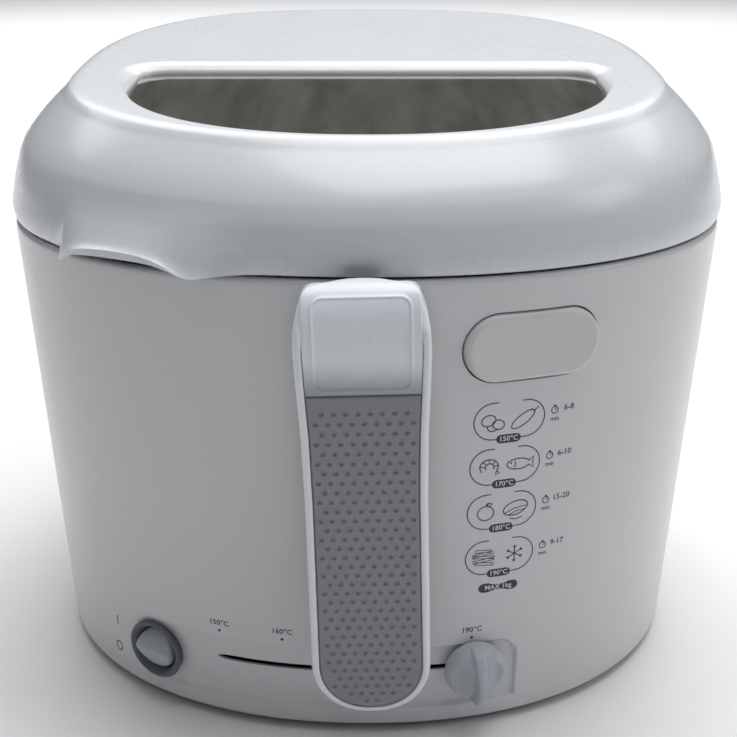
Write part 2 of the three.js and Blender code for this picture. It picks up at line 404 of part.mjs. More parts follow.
// tilted frame of the flat top; local Z = 0 lies on the top surface at y = 0
const tiltM = new THREE.Matrix4().makeRotationX(Math.atan(TOP.slope)).setPosition(0, 0, topZ(0));
const ct = Math.cos(Math.atan(TOP.slope));
function dShape(off, sides = 22) {
  const pts = [];
  for (let i = 0; i <= sides; i++) {
    const t = Math.PI + Math.PI * i / sides, c = Math.cos(t), s = Math.sin(t);
    pts.push([(WIN.a + off) * sgn(c) * Math.abs(c) ** (2 / 2.2), (WIN.yc + (WIN.b + off) * sgn(s) * Math.abs(s) ** (2 / 2.2)) / ct]);
  }
  const corner = [[0, -9], [-0.9, -5.2], [-3.4, -2.4], [-8.5, 0]];
  for (const [dx, dy] of corner) pts.push([WIN.a + off + dx, (WIN.back + off + dy) / ct]);
  for (const [dx, dy] of corner.reverse()) pts.push([-(WIN.a + off + dx), (WIN.back + off + dy) / ct]);
  return polygon(pts);
}
const dPrism = (off, d0, d1) => solid(put(prism(dShape(off), -d1, -d0), tiltM));
const wellDepth = WIN.depth + WIN.pane + GAP + 2.0;
lid = lid.add(dPrism(2.4, -30, wellDepth).intersect(lidFull).subtract(dPrism(-2.0, -40, 40)));
lid = lid.subtract(dPrism(0, -30, WIN.depth + WIN.pane + GAP));
lid = lid.subtract(dPrism(-4.0, -40, 40));
// posts that carry the inner panel
const posts = [[-108, -48], [108, -48], [-92, 104], [92, 104]];
for (const [x, y] of posts) lid = lid.add(solid(cylZ(4.5, x, y, 198.6, 275, 12)).intersect(lidFull));
for (const [x, y] of posts) lid = lid.subtract(solid(cylZ(1.6, x, y, 190, 212, 10)));
// hinge knuckles, moulded on behind the rear rim
for (const s of [-1, 1]) {
  const x0 = s < 0 ? -46.4 : 27.6, x1 = x0 + 18.8;
  const blank = solid(box(x0, x1, 158, HINGE.y + 1, HINGE.z + 2.2, HINGE.z + 13)).add(solid(cylX(HINGE.r, HINGE.y, HINGE.z, x0, x1, 20)));
  const keep = solid(box(x0 - 1, x1 + 1, HINGE.y - 6, HINGE.y + 6, HINGE.z - 6, HINGE.z + 6)).add(solid(box(x0 - 1, x1 + 1, 150, HINGE.y + 6, LB, HINGE.z + 14)));
  lid = lid.add(blank.intersect(keep).subtract(solid(loft([...lidInner.slice().reverse()].map((r) => r.map(([x, y, z]) => [x, y, z]))))));
  lid = lid.subtract(solid(cylX(HINGE.pin + GAP, HINGE.y, HINGE.z, x0 - 2, x1 + 2, 16)));
}
add('lid_cover', geometryOf(lid), mat(WHITE, 0.3));
add('window_pane', geometryOf(dPrism(-GAP, WIN.depth, WIN.depth + WIN.pane)), new THREE.MeshStandardMaterial({ color: 0x5a5752, roughness: 0.12, metalness: 0, transparent: true, opacity: 0.6 }));
for (const s of [-1, 1]) add(s < 0 ? 'hinge_pin_left' : 'hinge_pin_right', cylX(HINGE.pin, HINGE.y, HINGE.z, s < 0 ? -49.6 : 24.4, s < 0 ? -24.4 : 49.6, 16), mat(0xc4c6c9, 0.3, 0.9));

// inner panel with its window and filter openings
let liner = solid(loft([flatRing(SEAM_A - 8, SEAM_BF - 8, SEAM_BB - 8, 197.0, 44), flatRing(SEAM_A - 8, SEAM_BF - 8, SEAM_BB - 8, 198.2, 44)]));
const flatD = (off, z0, z1) => solid(prism(dShape(off), z0, z1));
liner = liner.subtract(flatD(-6, 190, 205));
const FILT = { x: 62, y0: 22, y1: 92 };
liner = liner.subtract(solid(box(-FILT.x, FILT.x, FILT.y0, FILT.y1, 190, 205)));
for (const [x, y] of posts) liner = liner.subtract(solid(cylZ(1.9, x, y, 190, 205, 12)));
add('lid_liner', geometryOf(liner), mat(0xc2c4c6, 0.3, 0.9));
posts.forEach(([x, y], i) => {
  const s = solid(cylZ(3.2, x, y, 195.0, 196.7, 12)).add(solid(cylZ(1.3, x, y, 196.2, 209, 10)));
  add(`liner_screw_${['front_left', 'front_right', 'rear_left', 'rear_right'][i]}`, geometryOf(s), mat(0xb8babd, 0.35, 0.9));
});
// filter frame sits in the liner opening, mesh inside the frame
let ff = solid(box(-FILT.x + 0.4, FILT.x - 0.4, FILT.y0 + 0.4, FILT.y1 - 0.4, 195.2, 203)).subtract(solid(box(-FILT.x + 5, FILT.x - 5, FILT.y0 + 5, FILT.y1 - 5, 190, 210)));
ff = ff.add(solid(box(-FILT.x + 2, FILT.x - 2, FILT.y0 + 2, FILT.y1 - 2, 195.2, 196.4)).subtract(solid(box(-FILT.x + 8, FILT.x - 8, FILT.y0 + 8, FILT.y1 - 8, 190, 210))));
add('filter_frame', geometryOf(ff), mat(0x9a9da2, 0.5));
add('filter_mesh', box(-FILT.x + 5.4, FILT.x - 5.4, FILT.y0 + 5.4, FILT.y1 - 5.4, 197, 200), mat(0x8f9194, 0.5, 0.8));
add('lid_gasket', loft([lr2(-19, 191.0), lr2(-14.5, 191.0), lr2(-14.5, 196.6), lr2(-19, 196.6)], 'loop'), mat(0x3a3a3c, 0.8));
function lr2(off, z) { return flatRing(SEAM_A + off, SEAM_BF + off, SEAM_BB + off, z, 44); }
// catch hanging behind the front wall, with its window
let katch = solid(put(box(-7, 7, SEAM_H - 10.6 - BUTTON.z, 202 - BUTTON.z, -6.2, -4.2), btM)).subtract(solid(put(box(-4.6, 4.6, SEAM_H - 9 - BUTTON.z, SEAM_H - 5.4 - BUTTON.z, -8, -2), btM)));
add('lid_catch', geometryOf(katch), mat(0xd0d0d0, 0.5));

// ---------------------------------------------------------------- stand the part on its origin
// Base of the feet at z = 0, the middle of the overall length and width at x = y = 0.
G.updateMatrixWorld(true);
const bounds = new THREE.Box3().setFromObject(G, true);
G.position.set(-(bounds.min.x + bounds.max.x) / 2, -(bounds.min.y + bounds.max.y) / 2, -bounds.min.z);
G.updateMatrixWorld(true);

export default G;
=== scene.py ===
# Compact household deep fryer: looks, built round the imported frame.
import bpy, math, random
import numpy as np
from mathutils import Vector, Matrix


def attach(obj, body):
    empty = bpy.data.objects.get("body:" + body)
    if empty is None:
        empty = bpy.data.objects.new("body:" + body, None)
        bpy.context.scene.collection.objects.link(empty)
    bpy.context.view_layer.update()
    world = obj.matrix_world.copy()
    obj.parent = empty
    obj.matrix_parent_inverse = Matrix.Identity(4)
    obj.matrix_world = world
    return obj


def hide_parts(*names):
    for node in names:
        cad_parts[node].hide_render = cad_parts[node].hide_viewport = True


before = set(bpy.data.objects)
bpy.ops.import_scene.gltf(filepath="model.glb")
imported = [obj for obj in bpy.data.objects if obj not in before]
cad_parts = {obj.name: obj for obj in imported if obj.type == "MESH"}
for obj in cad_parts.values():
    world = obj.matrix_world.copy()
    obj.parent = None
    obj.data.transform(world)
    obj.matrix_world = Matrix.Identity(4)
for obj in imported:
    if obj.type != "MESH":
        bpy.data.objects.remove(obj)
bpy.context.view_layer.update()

# ------------------------------------------------------------------ dimensions (mm, y = 0 at the widest section, z = 0 at the casing edge)
MM, YS, ZS = 0.001, -14.0, 3.0
NF, NB = 2.12, 2.76
SEAM_A, SEAM_BF, SEAM_BB, SEAM_H = 150.0, 125.3, 163.7, 190.1
WALL = 2.6
CH_A, CH_BF, CH_BB = 146.2, 122.5, 161.0
HX, HY, HZ, LEAN = -1.9, -136.5, 183.0, math.radians(1.45)
rad = math.radians


def row(P):
    P = np.asarray(P, float).reshape(-1, 3)
    return np.stack([P[:, 0] * MM, (P[:, 1] + YS) * MM, (P[:, 2] + ZS) * MM], 1)


def sstep(a, b, x):
    t = np.clip((np.asarray(x, float) - a) / (b - a), 0, 1)
    return t * t * (3 - 2 * t)


# ------------------------------------------------------------------ mesh helpers
def mesh_obj(name, V, F, mat, sharp=32, row_units=True, smooth=True):
    me = bpy.data.meshes.new(name)
    me.from_pydata((row(V) if row_units else np.asarray(V)).tolist(), [], [list(map(int, f)) for f in F])
    me.validate()
    me.update()
    if smooth:
        me.polygons.foreach_set("use_smooth", [True] * len(me.polygons))
        if sharp:
            me.set_sharp_from_angle(angle=rad(sharp))
    ob = bpy.data.objects.new(name, me)
    bpy.context.scene.collection.objects.link(ob)
    if mat is not None:
        me.materials.append(mat)
    return ob


def loft(rings, mode="cap"):
    """A closed surface through equal rings. cap closes both ends, loop joins the last to the first."""
    R = np.asarray(rings, float)
    m, n, _ = R.shape
    V = R.reshape(-1, 3)
    last = m if mode == "loop" else m - 1
    i = np.repeat(np.arange(last), n); j = np.tile(np.arange(n), last)
    k = (i + 1) % m; j2 = (j + 1) % n
    F = np.stack([i * n + j, i * n + j2, k * n + j2, k * n + j], 1).tolist()
    if mode == "cap":
        V = np.vstack([V, R[0].mean(0), R[-1].mean(0)])
        c0, c1 = m * n, m * n + 1
        for q in range(n):
            q2 = (q + 1) % n
            F.append([c0, q2, q]); F.append([c1, (m - 1) * n + q, (m - 1) * n + q2])
    return V, F


def outline_t(t, a, bf, bb):
    c, s = np.cos(t), np.sin(t)
    f = s < 0
    n = np.where(f, NF, NB)
    return np.stack([a * np.sign(c) * np.abs(c) ** (2 / n), np.where(f, bf, bb) * np.sign(s) * np.abs(s) ** (2 / n)], 1)


def outline(a, bf, bb, N):
    return outline_t(np.arange(N) * 2 * math.pi / N, a, bf, bb)


def normals2(P):
    d = np.roll(P, -1, 0) - np.roll(P, 1, 0)
    n = np.stack([d[:, 1], -d[:, 0]], 1)
    return n / np.maximum(np.linalg.norm(n, axis=1, keepdims=True), 1e-9)


def with_z(P, z):
    return np.column_stack([P, np.broadcast_to(z, len(P))])


def wall_dims(z):
    k = 1 - np.clip(z / SEAM_H, 0, 1)
    return SEAM_A - 8.1 * k, SEAM_BF - 7.0 * k, SEAM_BB - 7.0 * k


def wall_ring(z, off, t):
    a, bf, bb = wall_dims(z)
    return with_z(outline_t(t, a + off, bf + off, bb + off), z)


def front_point(x, z, off=0.0):
    """A point of the front wall at width x and height z, and the way out of it in plan."""
    a, bf, _ = wall_dims(z)
    q = min(abs(x) / a, 0.999)
    y = -bf * (1 - q ** NF) ** (1 / NF)
    nx = math.copysign(NF / a * q ** (NF - 1), x); ny = -NF / bf * (abs(y) / bf) ** (NF - 1)
    L = math.hypot(nx, ny)
    return np.array([x + off * nx / L, y + off * ny / L, z]), np.array([nx / L, ny / L, 0.0])


def arc_x(s, z):
    """Width x at arc length s along the front wall from its middle, at height z."""
    xs = np.linspace(0, 120, 241)
    ys = np.array([front_point(x, z)[0][1] for x in xs])
    L = np.concatenate([[0], np.cumsum(np.hypot(np.diff(xs), np.diff(ys)))])
    return math.copysign(float(np.interp(abs(s), L, xs)), s)


def boolean(ob, tools, op="DIFFERENCE", keep=False):
    for t in tools:
        m = ob.modifiers.new("b", "BOOLEAN")
        m.operation = op; m.solver = "EXACT"; m.object = t
        apply_mods(ob)
        if not keep:
            bpy.data.objects.remove(t, do_unlink=True)


def apply_mods(ob):
    bpy.context.view_layer.update()
    dg = bpy.context.evaluated_depsgraph_get()
    me = bpy.data.meshes.new_from_object(ob.evaluated_get(dg), depsgraph=dg)
    old = ob.data
    ob.modifiers.clear()
    ob.data = me
    me.name = ob.name
    if old.users == 0:
        bpy.data.meshes.remove(old)


def finish_smooth(ob, sharp=32):
    ob.data.polygons.foreach_set("use_smooth", [True] * len(ob.data.polygons))
    ob.data.set_sharp_from_angle(angle=rad(sharp))


def prism(name, pts2, z0, z1, M, mat=None):
    """A closed prism of a polygon drawn in local X-Y, pulled from z0 to z1, placed by 4x4 M (mm)."""
    P = np.asarray(pts2, float)
    if np.sum(P[:, 0] * np.roll(P[:, 1], -1) - np.roll(P[:, 0], -1) * P[:, 1]) < 0:
        P = P[::-1]
    n = len(P)
    V = np.vstack([with_z(P, z0), with_z(P, z1)])
    V = (np.asarray(M) @ np.column_stack([V, np.ones(len(V))]).T).T[:, :3]
    F = [[j, (j + 1) % n, n + (j + 1) % n, n + j] for j in range(n)] + [list(range(n))[::-1], list(range(n, 2 * n))]
    return mesh_obj(name, V, F, mat, sharp=30)


def on_wall(az, x, y, z):
    """Local frame on the wall: X right, Y up, Z out."""
    a = rad(az)
    M = np.eye(4)
    M[:3, 0] = (math.cos(a), math.sin(a), 0); M[:3, 1] = (0, 0, 1); M[:3, 2] = (math.sin(a), -math.cos(a), 0)
    M[:3, 3] = (x, y, z)
    return M


def move(ob_V, M):
    V = np.asarray(ob_V, float)
    return (np.asarray(M) @ np.column_stack([V, np.ones(len(V))]).T).T[:, :3]


def stadium(w, h, n=24):
    r = h / 2; l = w / 2 - r
    t = np.linspace(-math.pi / 2, math.pi / 2, n)
    R = np.stack([l + r * np.cos(t), r * np.sin(t)], 1)
    L = np.stack([-l - r * np.cos(t), -r * np.sin(t)], 1)
    return np.vstack([R, L])


def lathe(profile, n=72):
    """Closed ring or cap lathe round local Z. profile is (r, z) pairs, r = 0 at both ends for a solid, or a closed loop."""
    pr = np.asarray(profile, float)
    t = np.arange(n) * 2 * math.pi / n
    if abs(pr[0, 0]) < 1e-9 and abs(pr[-1, 0]) < 1e-9:
        rings = [np.stack([r * np.cos(t), r * np.sin(t), np.full(n, z)], 1) for r, z in pr[1:-1]]
        V, F = loft(rings)
        V[-2] = (0, 0, pr[0, 1]); V[-1] = (0, 0, pr[-1, 1])
        return V, F
    rings = [np.stack([r * np.cos(t), r * np.sin(t), np.full(n, z)], 1) for r, z in pr]
    return loft(rings, "loop")


def tube(path, r, n=8, closed=False):
    P = np.asarray(path, float)
    m = len(P)
    T = (np.roll(P, -1, 0) - np.roll(P, 1, 0)) if closed else np.gradient(P, axis=0)
    T /= np.linalg.norm(T, axis=1, keepdims=True)
    u = np.cross(T[0], (0, 0, 1) if abs(T[0][2]) < 0.9 else (1, 0, 0)); u /= np.linalg.norm(u)
    rings = []
    t = np.arange(n) * 2 * math.pi / n
    for i in range(m):
        u = u - T[i] * (u @ T[i]); u /= np.linalg.norm(u)
        v = np.cross(T[i], u)
        rings.append(P[i] + r * (np.outer(np.cos(t), u) + np.outer(np.sin(t), v)))
    return loft(rings, "loop" if closed else "cap")


# ------------------------------------------------------------------ materials
def nodes_of(name):
    m = bpy.data.materials.new(name)
    m.use_nodes = True
    nt = m.node_tree
    b = nt.nodes["Principled BSDF"]
    return m, nt, b


def plastic(name, color, rough=0.4, var=0.03, rvar=0.06, grain=0.00003, grain_scale=900, coat=0.0, spec=0.5, wear=0.0, sss=0.0, metal=0.0):
    """Moulded plastic or coated metal: faint colour clouding, roughness drift and a fine moulded grain."""
    m, nt, b = nodes_of(name)
    N, L = nt.nodes, nt.links
    tc = N.new("ShaderNodeTexCoord")
    n1 = N.new("ShaderNodeTexNoise"); n1.inputs["Scale"].default_value = 14; n1.inputs["Detail"].default_value = 5
    L.new(tc.outputs["Object"], n1.inputs["Vector"])
    ramp = N.new("ShaderNodeMix"); ramp.data_type = "RGBA"
    c = np.array(color, float)
    ramp.inputs["A"].default_value = (*np.clip(c * (1 - var), 0, 1), 1)
    ramp.inputs["B"].default_value = (*np.clip(c * (1 + var), 0, 1), 1)
    L.new(n1.outputs["Fac"], ramp.inputs["Factor"])
    L.new(ramp.outputs["Result"], b.inputs["Base Color"])
    mr = N.new("ShaderNodeMapRange")
    mr.inputs["From Min"].default_value = 0.3; mr.inputs["From Max"].default_value = 0.7
    mr.inputs["To Min"].default_value = max(0.02, rough - rvar); mr.inputs["To Max"].default_value = min(1, rough + rvar)
    n2 = N.new("ShaderNodeTexNoise"); n2.inputs["Scale"].default_value = 45; n2.inputs["Detail"].default_value = 6
    L.new(tc.outputs["Object"], n2.inputs["Vector"])
    L.new(n2.outputs["Fac"], mr.inputs["Value"])
    L.new(mr.outputs["Result"], b.inputs["Roughness"])
    n3 = N.new("ShaderNodeTexNoise"); n3.inputs["Scale"].default_value = grain_scale; n3.inputs["Detail"].default_value = 3
    L.new(tc.outputs["Object"], n3.inputs["Vector"])
    bp = N.new("ShaderNodeBump"); bp.inputs["Strength"].default_value = 0.35; bp.inputs["Distance"].default_value = grain
    L.new(n3.outputs["Fac"], bp.inputs["Height"])
    L.new(bp.outputs["Normal"], b.inputs["Normal"])
    b.inputs["Metallic"].default_value = metal
    b.inputs["Specular IOR Level"].default_value = spec
    if coat:
        b.inputs["Coat Weight"].default_value = coat
        b.inputs["Coat Roughness"].default_value = 0.15
    return m


def metal(name, color, rough=0.3, brushed=True, scale=(4, 400, 4)):
    m, nt, b = nodes_of(name)
    N, L = nt.nodes, nt.links
    tc = N.new("ShaderNodeTexCoord"); mp = N.new("ShaderNodeMapping")
    mp.inputs["Scale"].default_value = scale if brushed else (60, 60, 60)
    L.new(tc.outputs["Object"], mp.inputs["Vector"])
    n1 = N.new("ShaderNodeTexNoise"); n1.inputs["Scale"].default_value = 6; n1.inputs["Detail"].default_value = 6
    L.new(mp.outputs["Vector"], n1.inputs["Vector"])
    mx = N.new("ShaderNodeMix"); mx.data_type = "RGBA"
    c = np.array(color, float)
    mx.inputs["A"].default_value = (*np.clip(c * 0.88, 0, 1), 1); mx.inputs["B"].default_value = (*np.clip(c * 1.1, 0, 1), 1)
    L.new(n1.outputs["Fac"], mx.inputs["Factor"]); L.new(mx.outputs["Result"], b.inputs["Base Color"])
    mr = N.new("ShaderNodeMapRange"); mr.inputs["To Min"].default_value = rough * 0.75; mr.inputs["To Max"].default_value = rough * 1.3
    L.new(n1.outputs["Fac"], mr.inputs["Value"]); L.new(mr.outputs["Result"], b.inputs["Roughness"])
    bp = N.new("ShaderNodeBump"); bp.inputs["Strength"].default_value = 0.15; bp.inputs["Distance"].default_value = 0.00003
    L.new(n1.outputs["Fac"], bp.inputs["Height"]); L.new(bp.outputs["Normal"], b.inputs["Normal"])
    b.inputs["Metallic"].default_value = 1.0
    return m


M_WHITE = plastic("white_shell", (0.665, 0.672, 0.682), rough=0.30, var=0.008, rvar=0.015, grain=0.000006, grain_scale=1400, coat=0.2)
M_LIDWH = plastic("white_lid", (0.70, 0.715, 0.735), rough=0.28, var=0.008, rvar=0.015, grain=0.000006, grain_scale=1400, coat=0.25)
M_FRAME = plastic("white_handle", (0.86, 0.87, 0.88), rough=0.30, var=0.008, rvar=0.015, grain=0.000006, grain_scale=1400, coat=0.2)
M_GREY = plastic("grey_grip", (0.27, 0.272, 0.30), rough=0.46, var=0.05, rvar=0.06, grain=0.00005, grain_scale=1600)
M_PAD = plastic("pad_grey_painted_shade", (0.86, 0.905, 0.95), rough=0.30, var=0.02, rvar=0.05, grain=0.00002, grain_scale=1500, coat=0.1)
M_KNOB = plastic("knob_grey", (0.47, 0.485, 0.53), rough=0.35, var=0.02, rvar=0.05, grain=0.00002, grain_scale=1500)
M_BTN = plastic("button_satin", (0.66, 0.655, 0.665), rough=0.36, var=0.03, rvar=0.06, grain=0.00003, grain_scale=1800)
M_BEZEL = plastic("bezel_grey", (0.115, 0.12, 0.135), rough=0.45, var=0.04, rvar=0.06)
M_ROCKER = plastic("rocker_grey", (0.44, 0.46, 0.49), rough=0.3, var=0.02, rvar=0.05)
M_DARK = plastic("dark_plastic", (0.028, 0.028, 0.03), rough=0.5, var=0.08, rvar=0.06)
M_INNER = plastic("inner_plastic", (0.42, 0.43, 0.44), rough=0.5, var=0.04, rvar=0.08)
M_BASE = plastic("base_moulding", (0.30, 0.305, 0.32), rough=0.55, var=0.05, rvar=0.08, grain=0.00006, grain_scale=700)
M_RUB = plastic("rubber_black", (0.022, 0.022, 0.022), rough=0.8, var=0.15, rvar=0.08, grain=0.00008, grain_scale=700, spec=0.3)
M_SEAL = plastic("silicone_seal", (0.16, 0.165, 0.17), rough=0.6, var=0.06, rvar=0.08)
M_NON = plastic("nonstick", (0.022, 0.022, 0.024), rough=0.34, var=0.18, rvar=0.08, grain=0.00005, grain_scale=1100, metal=0.15)
M_WIRE = metal("wire_steel", (0.62, 0.63, 0.64), rough=0.18, brushed=False)
M_SHEET = metal("sheet_steel", (0.55, 0.56, 0.57), rough=0.32)
M_HOT = metal("element_steel", (0.20, 0.19, 0.19), rough=0.45, brushed=False)
M_FILT = metal("filter_metal", (0.40, 0.41, 0.42), rough=0.45, brushed=False)
M_INK = plastic("print_ink", (0.035, 0.036, 0.04), rough=0.5, var=0.1, rvar=0.05)
M_PAPER = plastic("print_white", (0.72, 0.735, 0.755), rough=0.4, var=0.01, rvar=0.03)

# ------------------------------------------------------------------ casing
def panel_depth(x, z):
    """The shallow control panel in the foot of the front wall."""
    r = 9.5
    qx, qz = x - (60.5 - r), z - (38.2 - r)
    d = np.where((qx > 0) & (qz > 0), np.hypot(qx, qz) - r, np.maximum(qx, qz) - r)
    return 1.5 * sstep(0.1, -1.1, d) * sstep(8.0, 10.6, z) * sstep(-98, -64, x)


def build_casing():
    base = np.arange(560) * 2 * math.pi / 560
    extra = -np.arccos(np.clip((np.linspace(56.5, 62.5, 26) / 142.6) ** (NF / 2), -1, 1)) % (2 * math.pi)
    t = np.unique(np.round(np.concatenate([base, extra]), 5))
    zs = [(0.0, -3.6), (0.0, -3.0), (0.28, -2.0), (0.9, -1.0), (1.8, -0.38), (3.0, -0.08), (4.2, 0)]
    zs += [(z, 0) for z in np.concatenate([np.arange(5, 13, 0.5), np.arange(13, 34, 1.5), np.arange(34, 40, 0.4), np.arange(41, 52, 2.0), np.arange(54, 186, 4.0)])]
    zs += [(187.2, 0), (188.2, -0.05), (188.9, -0.2), (189.4, -0.5), (189.8, -0.95), (190.03, -1.5), (190.1, -2.05)]
    rings = []
    for z, off in zs:
        R = wall_ring(z, off, t)
        P = R[:, :2]; nn = normals2(P)
        d = np.where(P[:, 1] < 0, panel_depth(P[:, 0], z), 0)
        R[:, :2] = P - nn * d[:, None]
        rings.append(R)
    for z, off in [(190.1, -WALL - 0.05), (SEAM_H - 1.1, -WALL - 0.3), (SEAM_H - 1.1, -17), (SEAM_H - 3.4, -17), (SEAM_H - 3.6, -WALL - 0.1), (SEAM_H / 2, -WALL), (14, -WALL - 0.1), (3.6, -WALL - 0.2), (0.2, -WALL - 2.2)]:
        rings.append(wall_ring(z, off, t))
    V, F = loft(rings, "loop")
    ob = mesh_obj("casing_shell", V, F, M_WHITE)
    tools = []
    # slot of the temperature slider: an arc with round ends
    a0, a1, R0, zc, hh = -17.85, 13.0, 198.0, 27.3, 1.25
    A = np.radians(np.linspace(a0, a1, 40))
    V2 = []
    ringpts = []
    for k, a in enumerate(A):
        e = 1.0
        if k == 0 or k == len(A) - 1: e = 0.35
        elif k == 1 or k == len(A) - 2: e = 0.85
        ringpts.append([[r * math.sin(a), 78.6 - r * math.cos(a), zc + s * hh * e] for r, s in ((188, -1), (206, -1), (206, 1), (188, 1))])
    Vs, Fs = loft(np.array(ringpts))
    tools.append(mesh_obj("t1", Vs, Fs, None, smooth=False))
    tools.append(prism("t2", [(11.9 * math.cos(u), 11.9 * math.sin(u)) for u in np.linspace(0, 2 * math.pi, 65)[:-1]], -14, 8, on_wall(-30.8, -86.7, -97.5, 23.6)))
    tools.append(prism("t3", stadium(53.4, 26.9), -14, 8, on_wall(17.9, 59.3, -115.7, 163.6)))
    tools.append(prism("t4", [(-9, 18.5), (9, 18.5), (9, 31), (-9, 31)], -11, -3.2, on_wall(17.9, 59.3, -115.7, 163.6)))
    tools.append(prism("t5", [(HX - 7, -130), (HX + 7, -130), (HX + 7, -116), (HX - 7, -116)], HZ - 12.0, HZ - 4.1, np.eye(4)))
    tools.append(prism("t7", [(7.6 * math.cos(u), 26 + 7.6 * math.sin(u)) for u in np.linspace(0, 2 * math.pi, 49)[:-1]], 148, 172, np.array([[1, 0, 0, 0], [0, 0, 1, 0], [0, 1, 0, 0], [0, 0, 0, 1.0]])))
    for tl in tools:
        tl.data.update()
    import bmesh
    for tl in tools:
        bm = bmesh.new(); bm.from_mesh(tl.data); bmesh.ops.recalc_face_normals(bm, faces=bm.faces); bm.to_mesh(tl.data); bm.free()
    boolean(ob, tools)
    finish_smooth(ob, 28)
    return ob


casing = build_casing()
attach(casing, "housing"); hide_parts("outer_casing")


def bevel_box(name, x0, x1, y0, y1, z0, z1, r, mat, seg=3, M=None):
    V = np.array([[x, y, z] for z in (z0, z1) for y in (y0, y1) for x in (x0, x1)], float)
    F = [[0, 2, 3, 1], [4, 5, 7, 6], [0, 1, 5, 4], [2, 6, 7, 3], [0, 4, 6, 2], [1, 3, 7, 5]]
    if M is not None:
        V = move(V, M)
    ob = mesh_obj(name, V, F, mat, smooth=False)
    bv = ob.modifiers.new("bev", "BEVEL"); bv.width = r * MM; bv.segments = seg; bv.limit_method = "NONE"
    apply_mods(ob)
    finish_smooth(ob, 40)
    return ob


def cyl_x(name, r, y, z, x0, x1, mat, bev=0.5, n=40):
    V, F = lathe([(0, x0), (r - bev, x0), (r, x0 + bev), (r, x1 - bev), (r - bev, x1), (0, x1)], n)
    V = np.stack([V[:, 2], V[:, 0] + y, V[:, 1] + z], 1)
    return mesh_obj(name, V, F, mat, sharp=40)


# rear hinge ears and knuckles
for s, side in ((-1, "left"), (1, "right")):
    for k, x in enumerate((22, 47)):
        x0 = -(x + 5) if s < 0 else x
        ear = bevel_box(f"hinge_ear_{side}_{k}", x0 + 0.05, x0 + 4.95, 160.5, 174.6, 175.5, 189.4, 1.2, M_WHITE)
        cyl = cyl_x("tmp", 5.0, 170.0, 189.0, x0, x0 + 5, M_WHITE)
        boolean(ear, [cyl], "UNION")
        finish_smooth(ear, 40)
        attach(ear, "housing")
    x0 = -46.4 if s < 0 else 27.6
    kn = cyl_x(f"hinge_knuckle_{side}", 5.0, 170.0, 189.0, x0, x0 + 18.8, M_WHITE)
    arm = bevel_box("tmp", x0 + 0.1, x0 + 18.7, 161.0, 172.5, 191.4, 201.5, 1.4, M_WHITE)
    boolean(kn, [arm], "UNION")
    finish_smooth(kn, 40)
    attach(kn, "lid")

# ------------------------------------------------------------------ lid
zc_ = lambda y: 214.6 + 0.06 * (y + CH_BF)
zt_ = lambda y: 230.6 + 0.12 * (y + CH_BF)
AZ_F = [-58, -54, -52, -50.6, -49.4, -48.4, -47.5, -45.6, -42, -38.3, -35, -32.2, -30, -28.3, -27.2, -26.3, -25, -22, -18, -14]
LIFT = [0, 0, 0, -0.5, -1.2, 0.6, 2.3, 4.3, 5.7, 6.2, 5.9, 4.7, 2.6, 0.6, -0.5, -1.1, -0.8, -0.3, 0, 0]
OUT = [0, 0.5, 2.2, 5.6, 8.1, 8.9, 9.2, 9.5, 9.5, 9.5, 9.5, 9.4, 9.1, 9.0, 8.7, 8.2, 6.8, 3.3, 0.8, 0]
EDGE = [0.3, 0.3, 0.3, 0.3, 0.5, 0.9, 1.3, 2.2, 2.8, 3.0, 2.8, 2.2, 1.5, 0.9, 0.6, 0.4, 0.3, 0.3, 0.3, 0.3]
WIN_A, WIN_B, WIN_YC, WIN_BACK, WIN_D = 97.5, 79.0, -13.0, 9.2, 3.6


def pchip(x, xp, fp):
    """Smooth monotone-ish interpolation through the points."""
    xp, fp = np.array(xp, float), np.array(fp, float)
    h = np.diff(xp); d = np.diff(fp) / h
    m = np.zeros_like(fp)
    m[1:-1] = np.where(d[:-1] * d[1:] > 0, 2 * d[:-1] * d[1:] / np.where(np.abs(d[:-1] + d[1:]) < 1e-9, 1e-9, d[:-1] + d[1:]), 0)
    x = np.clip(x, xp[0], xp[-1]); i = np.clip(np.searchsorted(xp, x) - 1, 0, len(h) - 1)
    u = (x - xp[i]) / h[i]
    return fp[i] * (1 + 2 * u) * (1 - u) ** 2 + m[i] * h[i] * u * (1 - u) ** 2 + fp[i + 1] * u * u * (3 - 2 * u) + m[i + 1] * h[i] * u * u * (u - 1)


def d_outline(n=2400):
    pts = []
    ts = np.linspace(math.pi + 0.0, 2 * math.pi, 900)
    c, s = np.cos(ts), np.sin(ts)
    fr = np.stack([WIN_A * np.sign(c) * np.abs(c) ** (2 / 2.2), WIN_YC - WIN_B * np.abs(s) ** (2 / 2.2)], 1)
    r = 10.0
    a = np.linspace(0, math.pi / 2, 60)
    cR = np.stack([WIN_A - r + r * np.cos(a), WIN_BACK - r + r * np.sin(a)], 1)
    cL = np.stack([-(WIN_A - r) - r * np.sin(a), WIN_BACK - r + r * np.cos(a)], 1)
    P = np.vstack([fr, cR, cL])
    L = np.concatenate([[0], np.cumsum(np.hypot(*np.diff(np.vstack([P, P[:1]]), axis=0).T))])
    u = np.linspace(0, L[-1], n, endpoint=False)
    Q = np.vstack([P, P[:1]])
    return np.stack([np.interp(u, L, Q[:, 0]), np.interp(u, L, Q[:, 1])], 1)


D_POLY = d_outline()
D_NORM = normals2(D_POLY)
C0 = np.array([0.0, -38.0])


